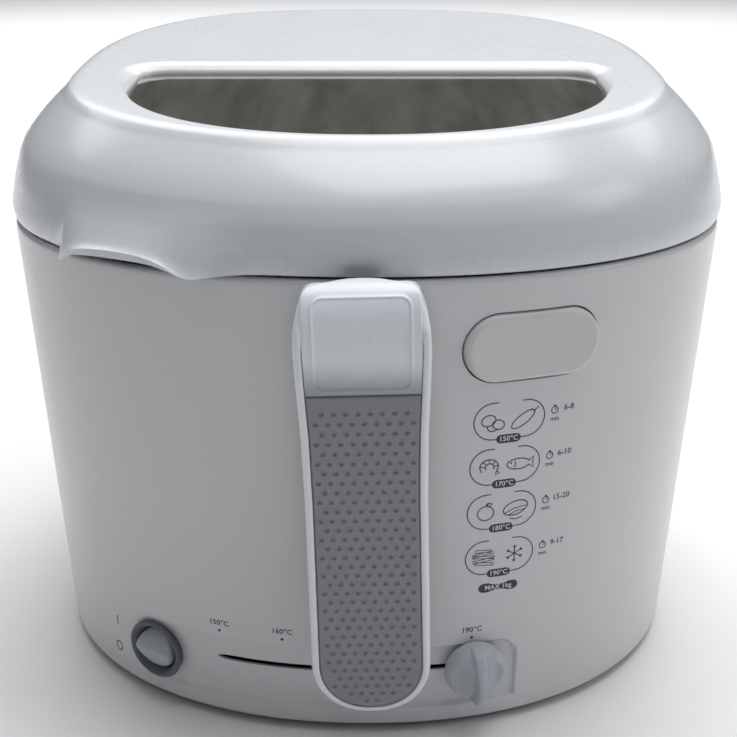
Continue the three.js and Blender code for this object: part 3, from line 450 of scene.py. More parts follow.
def d_at(outer):
    """Points and normals of the D outline in the directions of the outer ring's points."""
    q = D_POLY - C0
    ang = np.unwrap(np.arctan2(q[:, 1], q[:, 0]))
    base = ang[0]
    a = np.arctan2(outer[:, 1] - C0[1], outer[:, 0] - C0[0])
    a = (a - base) % (2 * math.pi) + base
    xs = np.concatenate([ang, [ang[0] + 2 * math.pi]])
    ext = lambda c: np.concatenate([c, c[:1]])
    P = np.stack([np.interp(a, xs, ext(D_POLY[:, 0])), np.interp(a, xs, ext(D_POLY[:, 1]))], 1)
    Nn = np.stack([np.interp(a, xs, ext(D_NORM[:, 0])), np.interp(a, xs, ext(D_NORM[:, 1]))], 1)
    return P, Nn / np.linalg.norm(Nn, axis=1, keepdims=True)


def lid_angles():
    """Ring parameters, closer together over the spout, and spaced so that the top has no crowding."""
    base = np.arange(620) * 2 * math.pi / 620
    # extra columns over the spout
    ex = rad(-90) + np.radians(np.linspace(-62, -14, 190))
    return np.unique(np.round(np.concatenate([base, ex % (2 * math.pi)]), 5))


def build_lid():
    t = lid_angles()
    n = len(t)
    rings = []

    def ring(a, bf, bb, z, lift=0.0, out=0.0, edge=0.0):
        P = outline_t(t, a, bf, bb)
        az = np.degrees(np.arctan2(P[:, 0], -P[:, 1]))
        nn = normals2(P)
        k = pchip(az, AZ_F, OUT) * (az > -58) * (az < -14)
        l = pchip(az, AZ_F, LIFT) * (az > -58) * (az < -14)
        e = np.where((az > -58) & (az < -14), pchip(az, AZ_F, EDGE), 0.3)
        P = P + nn * (k * out)[:, None]
        zz = (z(P[:, 1]) if callable(z) else np.full(n, float(z))) + l * lift - (e - 0.3) * edge
        return with_z(P, zz)

    S = lambda off, z, lift=0, out=0, edge=0: ring(SEAM_A + off, SEAM_BF + off, SEAM_BB + off, z, lift, out, edge)
    Cm = lambda off, z: ring(CH_A + off, CH_BF + off, CH_BB + off, z)
    # inside of the shell, from the top down
    inner_top = Cm(-28, lambda y: zt_(y) - 8.5)
    rings_in = [Cm(-26, lambda y: zt_(y) - 2.8), Cm(-6.8, lambda y: zc_(y) - 1.4), S(-3.6, 203, 0.2, 0.25), S(-2.4, 198, 0.6, 0.45), S(-2.4, 194.0, 0.95, 0.7, 0.6), S(-2.9, 191.4, 1.0, 0.85, 1.0)]
    # outside, from the rim up
    ext = [S(-2.3, 191.1, 1.0, 0.95, 1.0), S(-1.5, 191.05, 1.0, 1.0, 1.0), S(-1.05, 191.2, 1.0, 1.03, 0.9), S(-0.75, 191.5, 1.0, 1.047, 0.0), S(-0.45, 191.9, 0.97, 0.963), S(-0.1, 192.8, 0.90, 0.842),
           S(0.15, 194.0, 0.80, 0.72), S(0.35, 195.8, 0.66, 0.595), S(0.35, 197.8, 0.51, 0.489), S(-0.1, 200.1, 0.36, 0.40), S(-0.6, 202.4, 0.23, 0.32), S(-1.05, 204.6, 0.12, 0.23), S(-1.6, 206.8, 0.05, 0.14), S(-2.1, 209.0, 0.02, 0.06)]
    # to the lower edge of the chamfer
    ext += [Cm(-0.8, lambda y: zc_(y) - 3.2), Cm(-1.75, lambda y: zc_(y) - 1.2)]
    for i, dz in ((2.7, -1.7), (3.7, -1.2), (4.9, -0.7), (6.2, -0.25), (8.0, 0.15), (10.5, 0.45), (13, 0.55), (16, 0.5), (18.5, 0.35), (20.5, 0.2)):
        w = i / 24.2
        ext.append(Cm(-i, lambda y, w=w, dz=dz: (1 - w) * zc_(y) + w * zt_(y) + dz))
    for i, dz in ((22.0, -1.15), (23.2, -0.62), (24.4, -0.28), (25.6, -0.1), (26.8, -0.02)):
        ext.append(Cm(-i, lambda y, dz=dz: zt_(y) + dz + 0.0))
    outer = Cm(-27.6, zt_)
    ext.append(outer)
    # flat top, narrowing to the viewing recess
    O2 = outer[:, :2]
    D, Nn = d_at(O2)
    back = sstep(-40, 6, D[:, 1])
    W = 1.5 + 7.2 * back                                     # width of the rolled edge
    dist = np.hypot(*(O2 - D).T)
    start = D + Nn * np.minimum(W, dist * 0.6)[:, None]
    for k in np.linspace(0, 1, 26)[1:-1]:
        P = O2 * (1 - k) + start * k
        ext.append(with_z(P, zt_(P[:, 1])))
    W = np.hypot(*(start - D).T)
    for q in (0.0, 0.06, 0.14, 0.24, 0.36, 0.5, 0.64, 0.78, 0.9, 0.97, 1.0):
        P = start * (1 - q) + D * q
        drop = WIN_D * (1 - np.sqrt(np.maximum(1 - q * q, 0)))
        ext.append(with_z(P, zt_(P[:, 1]) - drop))
    for dn, dz in ((-0.05, WIN_D + 1.0), (-0.05, WIN_D + 3.3), (-4.0, WIN_D + 3.4), (-4.0, WIN_D + 5.2), (0.5, WIN_D + 5.3), (2.4, WIN_D + 5.2)):
        P = D + Nn * dn
        ext.append(with_z(P, zt_(P[:, 1]) - dz))
    P = D + Nn * 2.4
    last = with_z(P, zt_(P[:, 1]) - 3.2)
    mid = with_z((P + Cm(-26, zt_)[:, :2]) / 2, 0)
    mid[:, 2] = zt_(mid[:, 1]) - 2.7
    V, F = loft(np.array(rings_in + ext + [last, mid]), "loop")
    ob = mesh_obj("lid_shell", V, F, M_LIDWH, sharp=38)
    return ob, t


lid, LT = build_lid()
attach(lid, "lid"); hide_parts("lid_cover")
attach(lid, "lid")


# viewing pane
def pane():
    P = D_POLY[::6]
    Nn = D_NORM[::6]
    rings = []
    for off, d in ((-6, 6.2), (-0.6, 6.2), (-0.4, 6.0), (-0.4, 4.0), (-0.6, 3.75), (-1.2, WIN_D + 0.02)):
        Q = P + Nn * off
        rings.append(with_z(Q, zt_(Q[:, 1]) - d))
    for f in (0.9, 0.7, 0.5, 0.3, 0.1):
        Q = C0 + (P + Nn * -1.2 - C0) * f
        rings.append(with_z(Q, zt_(Q[:, 1]) - WIN_D))
    V, F = loft(np.array(rings))
    m, nt, b = nodes_of("window_smoke")
    N, L = nt.nodes, nt.links
    # stretched noise paints streaks into the smoked pane's colour: partly dust on the pane, partly painted reflection
    # of the ceiling lights
    tc = N.new("ShaderNodeTexCoord"); mp = N.new("ShaderNodeMapping"); mp.inputs["Scale"].default_value = (38, 6, 6); mp.inputs["Rotation"].default_value = (0, 0, 0.12)
    L.new(tc.outputs["Object"], mp.inputs["Vector"])
    n1 = N.new("ShaderNodeTexNoise"); n1.inputs["Scale"].default_value = 1.6; n1.inputs["Detail"].default_value = 6; n1.inputs["Roughness"].default_value = 0.6
    L.new(mp.outputs["Vector"], n1.inputs["Vector"])
    cr = N.new("ShaderNodeValToRGB")
    cr.color_ramp.elements[0].position = 0.36; cr.color_ramp.elements[0].color = (0.055, 0.050, 0.043, 1)
    cr.color_ramp.elements[1].position = 0.66; cr.color_ramp.elements[1].color = (0.105, 0.098, 0.087, 1)
    L.new(n1.outputs["Fac"], cr.inputs["Fac"]); L.new(cr.outputs["Color"], b.inputs["Base Color"])
    mr = N.new("ShaderNodeMapRange"); mr.inputs["To Min"].default_value = 0.05; mr.inputs["To Max"].default_value = 0.13
    L.new(n1.outputs["Fac"], mr.inputs["Value"]); L.new(mr.outputs["Result"], b.inputs["Roughness"])
    b.inputs["IOR"].default_value = 2.1
    ob = mesh_obj("viewing_pane", V, F, m)
    return ob


pn = pane()
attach(pn, "lid"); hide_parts("window_pane")

# ------------------------------------------------------------------ lid button
BM = on_wall(17.9, 59.3, -115.7, 163.6)


def ring_stack(shape_fn, levels):
    return [with_z(shape_fn(ins), z) for ins, z in levels]


def build_button():
    f = lambda ins: stadium(52.0 - 2 * ins, 25.5 - 2 * ins, 40)
    lv = [(2, -4.2), (0.2, -4.2), (0, -4.0), (0, -0.6), (0.1, -0.1), (0.4, 0.5), (0.85, 1.0), (1.35, 1.36), (1.8, 1.52), (2.3, 1.56), (3.2, 1.55), (5, 1.52), (8, 1.5), (11, 1.5), (12.4, 1.5)]
    V, F = loft(np.array(ring_stack(f, lv)))
    ob = mesh_obj("button_face", move(V, BM), F, M_BTN, sharp=40)
    fl = lambda ins: stadium(56.4 - 2 * ins, 29.9 - 2 * ins, 24)
    V, F = loft(np.array(ring_stack(fl, [(3, -7.2), (0.3, -7.2), (0, -6.9), (0, -5.9), (0.3, -5.6), (3, -5.6), (8, -5.6), (8, -4.0), (12, -4.0)])))
    ob2 = mesh_obj("button_flange", move(V, BM), F, M_INNER, sharp=40)
    return ob, ob2


bt, bt2 = build_button()
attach(bt, "button"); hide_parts("lid_button")
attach(bt2, "button")

# ------------------------------------------------------------------ switch
SM = on_wall(-30.8, -86.7, -97.5, 23.6)


def build_switch():
    pr = [(9.55, -7.9), (11.6, -7.9), (11.7, -7.6), (11.7, 0.6), (12.3, 0.75), (12.8, 1.0), (13.05, 1.5), (12.9, 2.1), (12.4, 2.5), (11.8, 2.5), (11.1, 2.05), (10.4, 1.35), (9.9, 0.7), (9.6, 0.1), (9.55, -0.8)]
    V, F = lathe(pr, 96)
    bz = mesh_obj("switch_dish", move(V, SM), F, M_BEZEL, sharp=45)
    # rocker: round cap with a soft ridge, tipped
    R = 8.9
    t = np.arange(96) * 2 * math.pi / 96
    rings = []
    for ins, base in ((1.5, -3.0), (0.15, -3.0), (0, -2.8)):
        rings.append(np.stack([(R - ins) * np.cos(t), (R - ins) * np.sin(t), np.full(96, base)], 1))
    for rr in (8.9, 8.85, 8.6, 8.2, 7.4, 6.2, 5, 3.6, 2.2, 1.0):
        x, y = rr * np.cos(t), rr * np.sin(t)
        h = 1.2 + 4.6 * (1 - np.sqrt((y / 8.9) ** 2 + 0.003)) - 0.0
        h = h - np.clip((rr - 7.7), 0, None) ** 2 * 0.8
        rings.append(np.stack([x, y, h], 1))
    V, F = loft(np.array(rings))
    T = np.eye(4); T[2, 3] = -1.2
    a = rad(-7); Rx = np.eye(4); Rx[1:3, 1:3] = [[math.cos(a), -math.sin(a)], [math.sin(a), math.cos(a)]]
    rk = mesh_obj("rocker_face", move(V, SM @ T @ Rx), F, M_ROCKER, sharp=40)
    return bz, rk


bz, rk = build_switch()
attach(bz, "housing"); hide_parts("switch_bezel")
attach(rk, "rocker"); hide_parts("rocker_cap")

# ------------------------------------------------------------------ temperature slider knob
KAZ = 12.28
KM = on_wall(KAZ, 198 * math.sin(rad(KAZ)), 78.6 - 198 * math.cos(rad(KAZ)), 27.3)


def build_knob():
    V, F = lathe([(0, 0.7), (11.4, 0.7), (11.9, 1.0), (12.15, 1.7), (12.2, 2.6), (11.95, 4.0), (11.2, 5.6), (9.9, 7.2), (8.0, 8.6), (5.5, 9.7), (3.0, 10.2), (0, 10.3)], 72)
    body = mesh_obj("slider_knob", V, F, M_KNOB)
    # fin: side profile (out, up), thinner at its outer edge
    side = np.array([(2, -11.4), (7, -11.9), (11.5, -11.3), (14.0, -9.2), (15.1, -5.8), (15.0, -1.5), (14.0, 3.2), (12.3, 7.4), (9.6, 10.6), (6, 11.9), (2, 11.9)])
    rings = []
    for x, sc in ((-2.9, 0.86), (-2.5, 0.95), (-1.6, 1.0), (0, 1.01), (1.6, 1.0), (2.5, 0.95), (2.9, 0.86)):
        c = np.array([5.0, 0.0])
        S = c + (side - c) * np.array([sc, 1 - (1 - sc) * 0.5])
        rings.append(np.stack([np.full(len(S), x) * (1 - 0.035 * np.clip(S[:, 0] - 4, 0, None)), S[:, 1], S[:, 0]], 1))
    V, F = loft(np.array(rings)[::-1])
    fin = mesh_obj("fin", V, F, M_KNOB)
    scoops = []
    for s in (-1, 1):
        V, F = lathe([(0, -1)] + [(math.sin(u), -math.cos(u)) for u in np.linspace(0, math.pi, 20)[1:-1]] + [(0, 1)], 40)
        V = V * np.array([6.2, 13.0, 7.2]) + np.array([s * 9.1, -2.0, 13.2])
        scoops.append(mesh_obj("sc", V, F, M_KNOB))
    boolean(body, scoops)
    boolean(body, [fin], "UNION")
    rm = body.modifiers.new("r", "REMESH"); rm.mode = "VOXEL"; rm.voxel_size = 0.33 * MM
    sm = body.modifiers.new("s", "SMOOTH"); sm.factor = 0.5; sm.iterations = 7
    apply_mods(body)
    co = np.array([v.co[:] for v in body.data.vertices])
    P = np.stack([co[:, 0] / MM, co[:, 1] / MM - YS, co[:, 2] / MM - ZS], 1)
    body.data.vertices.foreach_set("co", row(move(P, KM)).ravel())
    body.data.update()
    finish_smooth(body, 60)
    return body


kn = build_knob()
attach(kn, "slider"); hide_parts("thermostat_knob")
sh = bevel_box("slider_shank", -1.05, 1.05, -0.8, 0.8, -5.2, 1.2, 0.15, M_DARK, M=KM)
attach(sh, "slider")

# ------------------------------------------------------------------ handle
HM = np.eye(4)
HM[:3, 0] = (math.cos(-LEAN), 0, -math.sin(-LEAN)); HM[:3, 2] = (math.sin(-LEAN), 0, math.cos(-LEAN)); HM[:3, 3] = (HX, HY, HZ)
H_R, H_END = 10.5, -158.5
HALF = [(-200, 22), (-135.5, 22.0), (-117.5, 21.9), (-66.5, 21.5), (-41.5, 21.8), (-24, 22.6), (-11, 23.1), (-4, 22.7), (0, 21.9), (3.5, 20.6), (6.5, 18.8), (9, 16.8)]
INS = [(-200, 18.85), (-135.5, 18.85), (-117.5, 18.75), (-66.5, 18.35), (-41.5, 18.65), (-24, 19.6), (-11, 20.0), (12, 20.0)]
FRONT = [(-158.5, -4.6), (-155, -5.4), (-150.5, -6.2), (-139.5, -7.4), (-117.5, -7.9), (-67.5, -9.3), (-30, -10.3), (-20, -10.4), (-13, -10.25), (-7, -9.75), (-2, -8.9), (2, -7.75), (5, -6.4), (7.3, -4.7), (9.0, -2.6), (10.0, -0.4), (10.5, 2.0)]
BACK = [(-158.5, -1.0), (-151.5, 0.6), (-131.5, 1.0), (-87.5, 6.2), (-31.5, 7.0), (-12, 8.6), (-4, 10.0), (0, 10.5)]


def h_half(s):
    return np.interp(s, *zip(*HALF))


def h_front(s):
    s = np.asarray(s, float)
    return pchip(s, *zip(*FRONT))


def h_back(s):
    s = np.asarray(s, float)
    lin = pchip(s, *zip(*BACK))
    return np.where(s > 0, np.sqrt(np.maximum(H_R ** 2 - s ** 2, 0)), lin)


def h_outline(inset, top=9.0, n=220):
    """Front view outline of the handle, inset evenly, anticlockwise seen from the front (x right, s up)."""
    ts = np.linspace(0, 1, 80)
    end = H_END + inset
    zr = -135.5
    w = 22.0 - inset
    ang = np.linspace(-math.pi / 2, 0, 60)
    bot = np.stack([w * np.cos(ang) ** 0.92, zr + (zr - end) * np.sin(ang)], 1)
    tp = top - inset
    rc = 5.0
    zs = np.linspace(zr, tp - rc, 70)[1:]
    sd = np.stack([h_half(zs) - inset, zs], 1)
    wx = sd[-1, 0]
    a2 = np.linspace(0, math.pi / 2, 24)[1:]
    tc = np.stack([wx - rc + rc * np.cos(a2), tp - rc + rc * np.sin(a2)], 1)
    right = np.vstack([bot, sd, tc])
    left = right[::-1].copy(); left[:, 0] *= -1
    P = np.vstack([right, left[:-1]])
    L = np.concatenate([[0], np.cumsum(np.hypot(*np.diff(np.vstack([P, P[:1]]), axis=0).T))])
    Q = np.vstack([P, P[:1]])
    u = np.linspace(0, L[-1], n, endpoint=False)
    return np.stack([np.interp(u, L, Q[:, 0]), np.interp(u, L, Q[:, 1])], 1)


def spine(P, f, lo=-135.5, hi=2.0):
    S = np.stack([np.zeros(len(P)), np.clip(P[:, 1], lo, hi)], 1)
    return S + (P - S) * f


def build_handle():
    n = 260
    rings = []
    O = lambda ins: h_outline(ins, n=n)
    A = O(0)
    # back face, from the middle out
    for f in (0.04, 0.3, 0.6, 0.85):
        P = spine(O(1.2), f)
        rings.append(np.column_stack([P[:, 0], h_back(P[:, 1]), P[:, 1]]))
    for ins, d in ((1.2, 0.0), (0.55, 0.18), (0.15, 0.6), (0.0, 1.3)):
        P = O(ins); rings.append(np.column_stack([P[:, 0], h_back(P[:, 1]) - d, P[:, 1]]))
    P = O(0.0)
    b, f_ = h_back(P[:, 1]) - 1.3, h_front(P[:, 1]) + 2.6
    for k in (0.33, 0.66):
        rings.append(np.column_stack([P[:, 0], b * (1 - k) + f_ * k, P[:, 1]]))
    for ins, d in ((0.0, 2.6), (0.08, 1.8), (0.35, 1.0), (0.8, 0.42), (1.35, 0.1), (1.9, 0.02), (2.45, 0.10), (2.8, 0.35), (2.9, 0.7), (2.92, 2.6)):
        P = O(ins); rings.append(np.column_stack([P[:, 0], np.minimum(h_front(P[:, 1]) + d + 1.7 * sstep(-5.5, 0.5, P[:, 1]) * max(0.0, 1 - d / 2.6), h_back(P[:, 1]) - 0.4), P[:, 1]]))
    for f in (0.8, 0.5, 0.2, 0.04):
        P = spine(O(2.92), f)
        rings.append(np.column_stack([P[:, 0], h_front(P[:, 1]) + 2.6, P[:, 1]]))
    R = np.array(rings)
    V, F = loft(R)
    F = [f[::-1] for f in F]
    ob = mesh_obj("handle_shell", move(V, HM), F, M_WHITE, sharp=50)
    import bmesh
    bm = bmesh.new(); bm.from_mesh(ob.data); bmesh.ops.recalc_face_normals(bm, faces=bm.faces); bm.to_mesh(ob.data); bm.free()
    # clearance for the pivot arm, open to the rear and the top
    cyl = cyl_local("c", 7.0, -6.6, 6.6)
    wedge = [(-2.29, -3.28), (14.1, -14.75), (22, -14.75), (22, 17.9), (9.8, 17.9), (-3.06, 2.57)]
    X = np.array([[0, 0, 1, 0], [1, 0, 0, 0], [0, 1, 0, 0], [0, 0, 0, 1.0]])
    bx = prism("c2", wedge, -6.6, 6.6, HM @ X)
    boolean(ob, [cyl, bx])
    finish_smooth(ob, 40)
    return ob


def cyl_local(name, r, x0, x1, n=40):
    V, F = lathe([(0, x0), (r, x0), (r, x1), (0, x1)], n)
    V = np.stack([V[:, 2], V[:, 0], V[:, 1]], 1)
    return mesh_obj(name, move(V, HM), F, None)


SPLIT = -26.2


def face_patch(name, s0, s1, mat, nx, ns, height, ins=3.15, round_bottom=False, round_top=False, thick=2.1):
    """A crowned insert lying in the handle's front: dense front, plain back, edges rolled."""
    S = s0 + (s1 - s0) * (np.linspace(0, 1, ns))
    if round_bottom:
        u = np.linspace(0, 1, ns); S = s0 + (s1 - s0) * (u + 0.10 * np.sin(math.pi * u) * (u - 1) * 0)
    zr = -135.5
    def half(s):
        w = np.interp(s, *zip(*INS))
        if round_bottom:
            e = zr - (H_END + ins)
            q = np.clip((zr - s) / e, 0, 1)
            w = np.where(s < zr, (22.0 - ins) * np.sqrt(np.maximum(1 - q ** 2, 0)) ** 0.92, w)
        if round_top:
            rc = 3.6; q = np.clip((s - (s1 - rc)) / rc, 0, 1)
            w = w - rc * (1 - np.sqrt(np.maximum(1 - q ** 2, 0)))
        return np.maximum(w, 0.15)
    f = np.sin(np.linspace(-math.pi / 2, math.pi / 2, nx)) * 0.25 + np.linspace(-1, 1, nx) * 0.75
    Wd = half(S)
    X = Wd[:, None] * f[None, :]
    SS = np.repeat(S[:, None], nx, 1)
    if round_top:
        SS = SS - 1.5 * (X / 20.0) ** 2 * np.clip((SS - s0) / (s1 - s0), 0, 1) ** 3
    # distance in from the edge, for the rolled border
    de = np.minimum(Wd[:, None] - np.abs(X), np.minimum(np.abs(SS - s0) if not round_bottom else 99, np.abs(s1 - SS)))
    if round_bottom:
        e = zr - (H_END + ins); q = np.hypot(X / (22.0 - ins), np.clip((zr - SS) / e, 0, None))
        de = np.where(SS < zr, np.minimum(de, (1 - q) * 19.0), de)
    roll = np.clip(1 - np.maximum(de, 0) / 0.7, 0, 1)
    y = h_front(SS) + 0.25 + 0.65 * roll ** 2 + height(X, SS, de)
    front = np.stack([X, y, SS], 2)
    backy = h_front(SS) + thick
    back = np.stack([X, backy, SS], 2)
    V = np.vstack([front.reshape(-1, 3), back.reshape(-1, 3)])
    o = ns * nx
    F = []
    idx = np.arange(o).reshape(ns, nx)
    a, b, c, d = idx[:-1, :-1], idx[:-1, 1:], idx[1:, 1:], idx[1:, :-1]
    F += np.stack([a, b, c, d], 2).reshape(-1, 4).tolist()
    F += (np.stack([d, c, b, a], 2).reshape(-1, 4) + o).tolist()
    rim = np.concatenate([idx[0, :], idx[1:, -1], idx[-1, -2::-1], idx[-2:0:-1, 0]])
    m = len(rim)
    for k in range(m):
        p, q = rim[k], rim[(k + 1) % m]
        F.append([p, p + o, q + o, q])
    ob = mesh_obj(name, move(V, HM), F, mat, sharp=60)
    return ob


# dimples of the grip: staggered rows, eight and nine to a row
ROWS = []
pitch_s = 3.86
for r in range(34):
    s = -32.5 - r * pitch_s * 0.966
    k = 9 if r % 2 else 8
    px = 4.12 - 0.006 * r
    for j in range(k):
        ROWS.append(((j - (k - 1) / 2) * px, s))
DIMP = np.array(ROWS)


def grip_height(X, S, de):
    out = np.zeros_like(X)
    for x, s in DIMP:
        if s < -135.5:
            if math.hypot(x / 18.85, (-135.5 - s) / 19.85) > 0.86:
                continue
        elif abs(x) > 18.2:
            continue
        m = (np.abs(X - x) < 1.7) & (np.abs(S - s) < 1.7)
        if m.any():
            d = np.hypot(X[m] - x, S[m] - s)
            out[m] += 0.62 * np.exp(-(d / 0.82) ** 4) - 0.10 * np.exp(-((d - 1.25) / 0.28) ** 2)
    return out


def pad_height(X, S, de):
    """A raised bead runs round the pad a few millimetres inside its edge."""
    x0, s1, s0, r = 16.4, 6.6, -24.2, 3.4
    qx = np.abs(X) - (x0 - r); qs = np.maximum(S - (s1 - r), (s0 + r) - S)
    d = np.where((qx > 0) & (qs > 0), np.hypot(qx, qs) - r, np.maximum(qx, qs) - r)
    return -0.42 * np.exp(-(d / 0.42) ** 2) + 0.10 * sstep(0.3, -0.6, d)


def painted_shade_ramp(mat, shade_colour, z0, z1):
    """Painted shade: blend a piece's colour towards a darker tone below a height, along the handle, in place of the
    shade that falls on its lower part.
    """
    nt = mat.node_tree; N, L = nt.nodes, nt.links
    b = N["Principled BSDF"]
    src = b.inputs["Base Color"].links[0].from_socket
    tc = N.new("ShaderNodeTexCoord"); sx = N.new("ShaderNodeSeparateXYZ"); mr = N.new("ShaderNodeMapRange"); mx = N.new("ShaderNodeMix")
    mr.interpolation_type = "SMOOTHSTEP"
    mx.data_type = "RGBA"
    L.new(tc.outputs["Object"], sx.inputs["Vector"]); L.new(sx.outputs["Z"], mr.inputs["Value"])
    mr.inputs["From Min"].default_value = z0; mr.inputs["From Max"].default_value = z1
    L.new(mr.outputs["Result"], mx.inputs["Factor"])
    mx.inputs["A"].default_value = (*shade_colour, 1); L.new(src, mx.inputs["B"])
    L.new(mx.outputs["Result"], b.inputs["Base Color"])


# painted shade: the pad's lower part is coloured darker towards the grip, standing in for shading from the overhead
# light
painted_shade_ramp(M_PAD, (0.36, 0.375, 0.41), (HZ + ZS - 27.0) * MM, (HZ + ZS - 13.0) * MM)
hd = build_handle()
hd.data.materials.clear(); hd.data.materials.append(M_FRAME)
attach(hd, "handle"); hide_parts("handle_frame")
pad = face_patch("handle_pad_face", SPLIT + 0.02, 10.45, M_PAD, 150, 150, pad_height, round_top=True)
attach(pad, "handle"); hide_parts("handle_pad")
grip = face_patch("grip_face", H_END + 3.15, SPLIT - 0.02, M_GREY, 120, 400, grip_height, round_bottom=True)
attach(grip, "handle"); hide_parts("grip_insert")


# ------------------------------------------------------------------ bowl, basket, liner, seal
def bi(k, off=0.0):
    return SEAM_A - 24 - 9 * k + off, SEAM_BF - 24 - 9 * k + off, SEAM_BB - 24 - 9 * k + off


def ringz(dims, z, N=220):
    return with_z(outline(*dims, N), z)


def build_bowl():
    FL = SEAM_H - 0.8
    fo = (SEAM_A - 12.5, SEAM_BF - 12.5, SEAM_BB - 12.5)
    g = lambda o: tuple(v + o for v in fo)
    rings = [ringz(bi(1, -10), 54), ringz(bi(1, -6), 54.6), ringz(bi(1, -3), 56.2), ringz(bi(1, -0.9), 59), ringz(bi(0.96), 63), ringz(bi(0.5), 124), ringz(bi(0), FL - 3), ringz(bi(0, 0.6), FL - 1.1), ringz(bi(0, 2.5), FL),
             ringz(g(-0.5), FL), ringz(g(0), FL + 0.3), ringz(g(0), FL + 1.0), ringz(g(-0.4), FL + 1.3), ringz(bi(0, 2.2), FL + 1.3), ringz(bi(0, 0.3), FL + 0.7), ringz(bi(0, -0.9), FL - 0.6), ringz(bi(0, -1.4), FL - 2.4),
             ringz(bi(0.5, -1.4), 124), ringz(bi(0.96, -1.4), 63.2), ringz(bi(1, -2.4), 59.9), ringz(bi(1, -4.6), 57.4), ringz(bi(1, -7.5), 56), ringz(bi(1, -10.5), 55.5), ringz(bi(1, -60), 55.4)]
    V, F = loft(np.array(rings))
    ob = mesh_obj("frying_bowl", V, F, M_NON, sharp=50)
    boolean(ob, [bevel_box("c", HX - 9, HX + 9, -116, -88, 158, 186.1, 1.5, M_NON)])
    lip = prism("c", [(-15, -26), (15, -26), (13.5, -3.6), (-13.5, -3.6)], -1.3, -0.05, np.column_stack([on_wall(-29.5, -82, -107.5, 0)[:, 0], on_wall(-29.5, -82, -107.5, 0)[:, 2], -on_wall(-29.5, -82, -107.5, 0)[:, 1], np.array([-82, -107.5, FL, 1.0])]))
    finish_smooth(ob, 40)
    return ob, lip


bowl, lip = build_bowl()
lip.name = "bowl_lip"
lip.data.materials.append(M_NON)
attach(bowl, "housing"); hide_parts("fry_bowl")
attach(lip, "housing")


def bk(k, off=0.0):
    return 112 - 6 * k + off, 87 - 6 * k + off, 125 - 6 * k + off


def build_basket():
    N, M = 112, 15
    grid = []
    for i in range(M + 1):
        u = i / M
        z = 163.0 - u * (163 - 75.5)
        grid.append(ringz(bk((165 - z) / 97.0, -1.0), z, N))
    for off, z in ((-1.6, 72.2), (-4.0, 69.8), (-8.5, 68.9)):
        grid.append(ringz(bk(1, off), z, N))
    R = np.array(grid)
    m = len(R)
    V = R.reshape(-1, 3)
    F = [[i * N + j, i * N + (j + 1) % N, (i + 1) * N + (j + 1) % N, (i + 1) * N + j] for i in range(m - 1) for j in range(N)]
    ob = mesh_obj("basket_weave", V, F, M_WIRE, smooth=False)
    # floor: a square grid cut to the outline
    P = R[-1][:, :2]
    a_, bf_, bb_ = (v for v in bk(1, -8.5))
    xs = np.arange(-96, 97, 6.4); ys = np.arange(-76, 113, 6.3)
    ins = lambda x, y: (abs(x) / (a_ + 0.5)) ** (NF if y < 0 else NB) + (abs(y) / ((bf_ if y < 0 else bb_) + 0.5)) ** (NF if y < 0 else NB) < 1
    wires = []
    for x in xs:
        yy = [y for y in np.linspace(-84, 124, 417) if ins(x, y)]
        if len(yy) > 4:
            wires.append(tube([(x, y, 68.9) for y in np.linspace(yy[0], yy[-1], 4)], 0.55, 6))
    for y in ys:
        xx = [x for x in np.linspace(-106, 106, 425) if ins(x, y)]
        if len(xx) > 4:
            wires.append(tube([(x, y, 69.7) for x in np.linspace(xx[0], xx[-1], 4)], 0.55, 6))
    Va, Fa, o = [], [], 0
    for V, F in wires:
        Va.append(V); Fa += [[q + o for q in f] for f in F]; o += len(V)
    fl = mesh_obj("basket_floor", np.vstack(Va), Fa, M_WIRE, sharp=60)
    w = ob.modifiers.new("w", "WIREFRAME"); w.thickness = 1.15 * MM; w.use_even_offset = False; w.use_boundary = True; w.use_replace = True
    apply_mods(ob)
    finish_smooth(ob, 80)
    rim = mesh_obj("basket_rim_wire", *tube(ringz((111.2, 86.2, 124.2), 162.6, 240), 2.1, 14, closed=True), M_WIRE, sharp=0)
    rim2 = mesh_obj("basket_foot_wire", *tube(ringz(bk(1, -4.5), 69.2, 240), 1.15, 10, closed=True), M_WIRE, sharp=0)
    return ob, fl, rim, rim2


bs = build_basket()
for o in bs:
    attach(o, "basket")
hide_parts("fry_basket"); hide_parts("basket_rim")


def liner():
    d = (SEAM_A - 8, SEAM_BF - 8, SEAM_BB - 8)
    g = lambda o: tuple(v + o for v in d)
    V, F = loft(np.array([ringz(g(-20), 197.0), ringz(g(-0.3), 197.0), ringz(g(0), 197.3), ringz(g(0), 197.9), ringz(g(-0.3), 198.2), ringz(g(-20), 198.2)]))
    ob = mesh_obj("lid_inner_panel", V, F, M_SHEET, sharp=50)
    P = D_POLY[::12] - D_NORM[::12] * 6
    boolean(ob, [prism("c", P, 190, 205, np.eye(4)), bevel_box("c", -62, 62, 22, 92, 190, 205, 3, M_SHEET)] + [prism("c", [(x + 1.9 * math.cos(u), y + 1.9 * math.sin(u)) for u in np.linspace(0, 6.283, 25)[:-1]], 190, 205, np.eye(4)) for x, y in ((-108, -48), (108, -48), (-92, 104), (92, 104))])
    finish_smooth(ob, 40)
    return ob


ln = liner()
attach(ln, "lid"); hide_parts("lid_liner")
gd = lambda off, z: ringz((SEAM_A + off, SEAM_BF + off, SEAM_BB + off), z, 240)
gs = mesh_obj("lid_seal", *loft(np.array([gd(-18.6, 191.2), gd(-17.6, 190.95), gd(-15.9, 190.95), gd(-14.9, 191.2), gd(-14.5, 191.9), gd(-14.5, 195.9), gd(-14.9, 196.5), gd(-18.6, 196.5), gd(-19, 195.9), gd(-19, 191.9)]), "loop"), M_SEAL, sharp=0)
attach(gs, "lid"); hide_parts("lid_gasket")

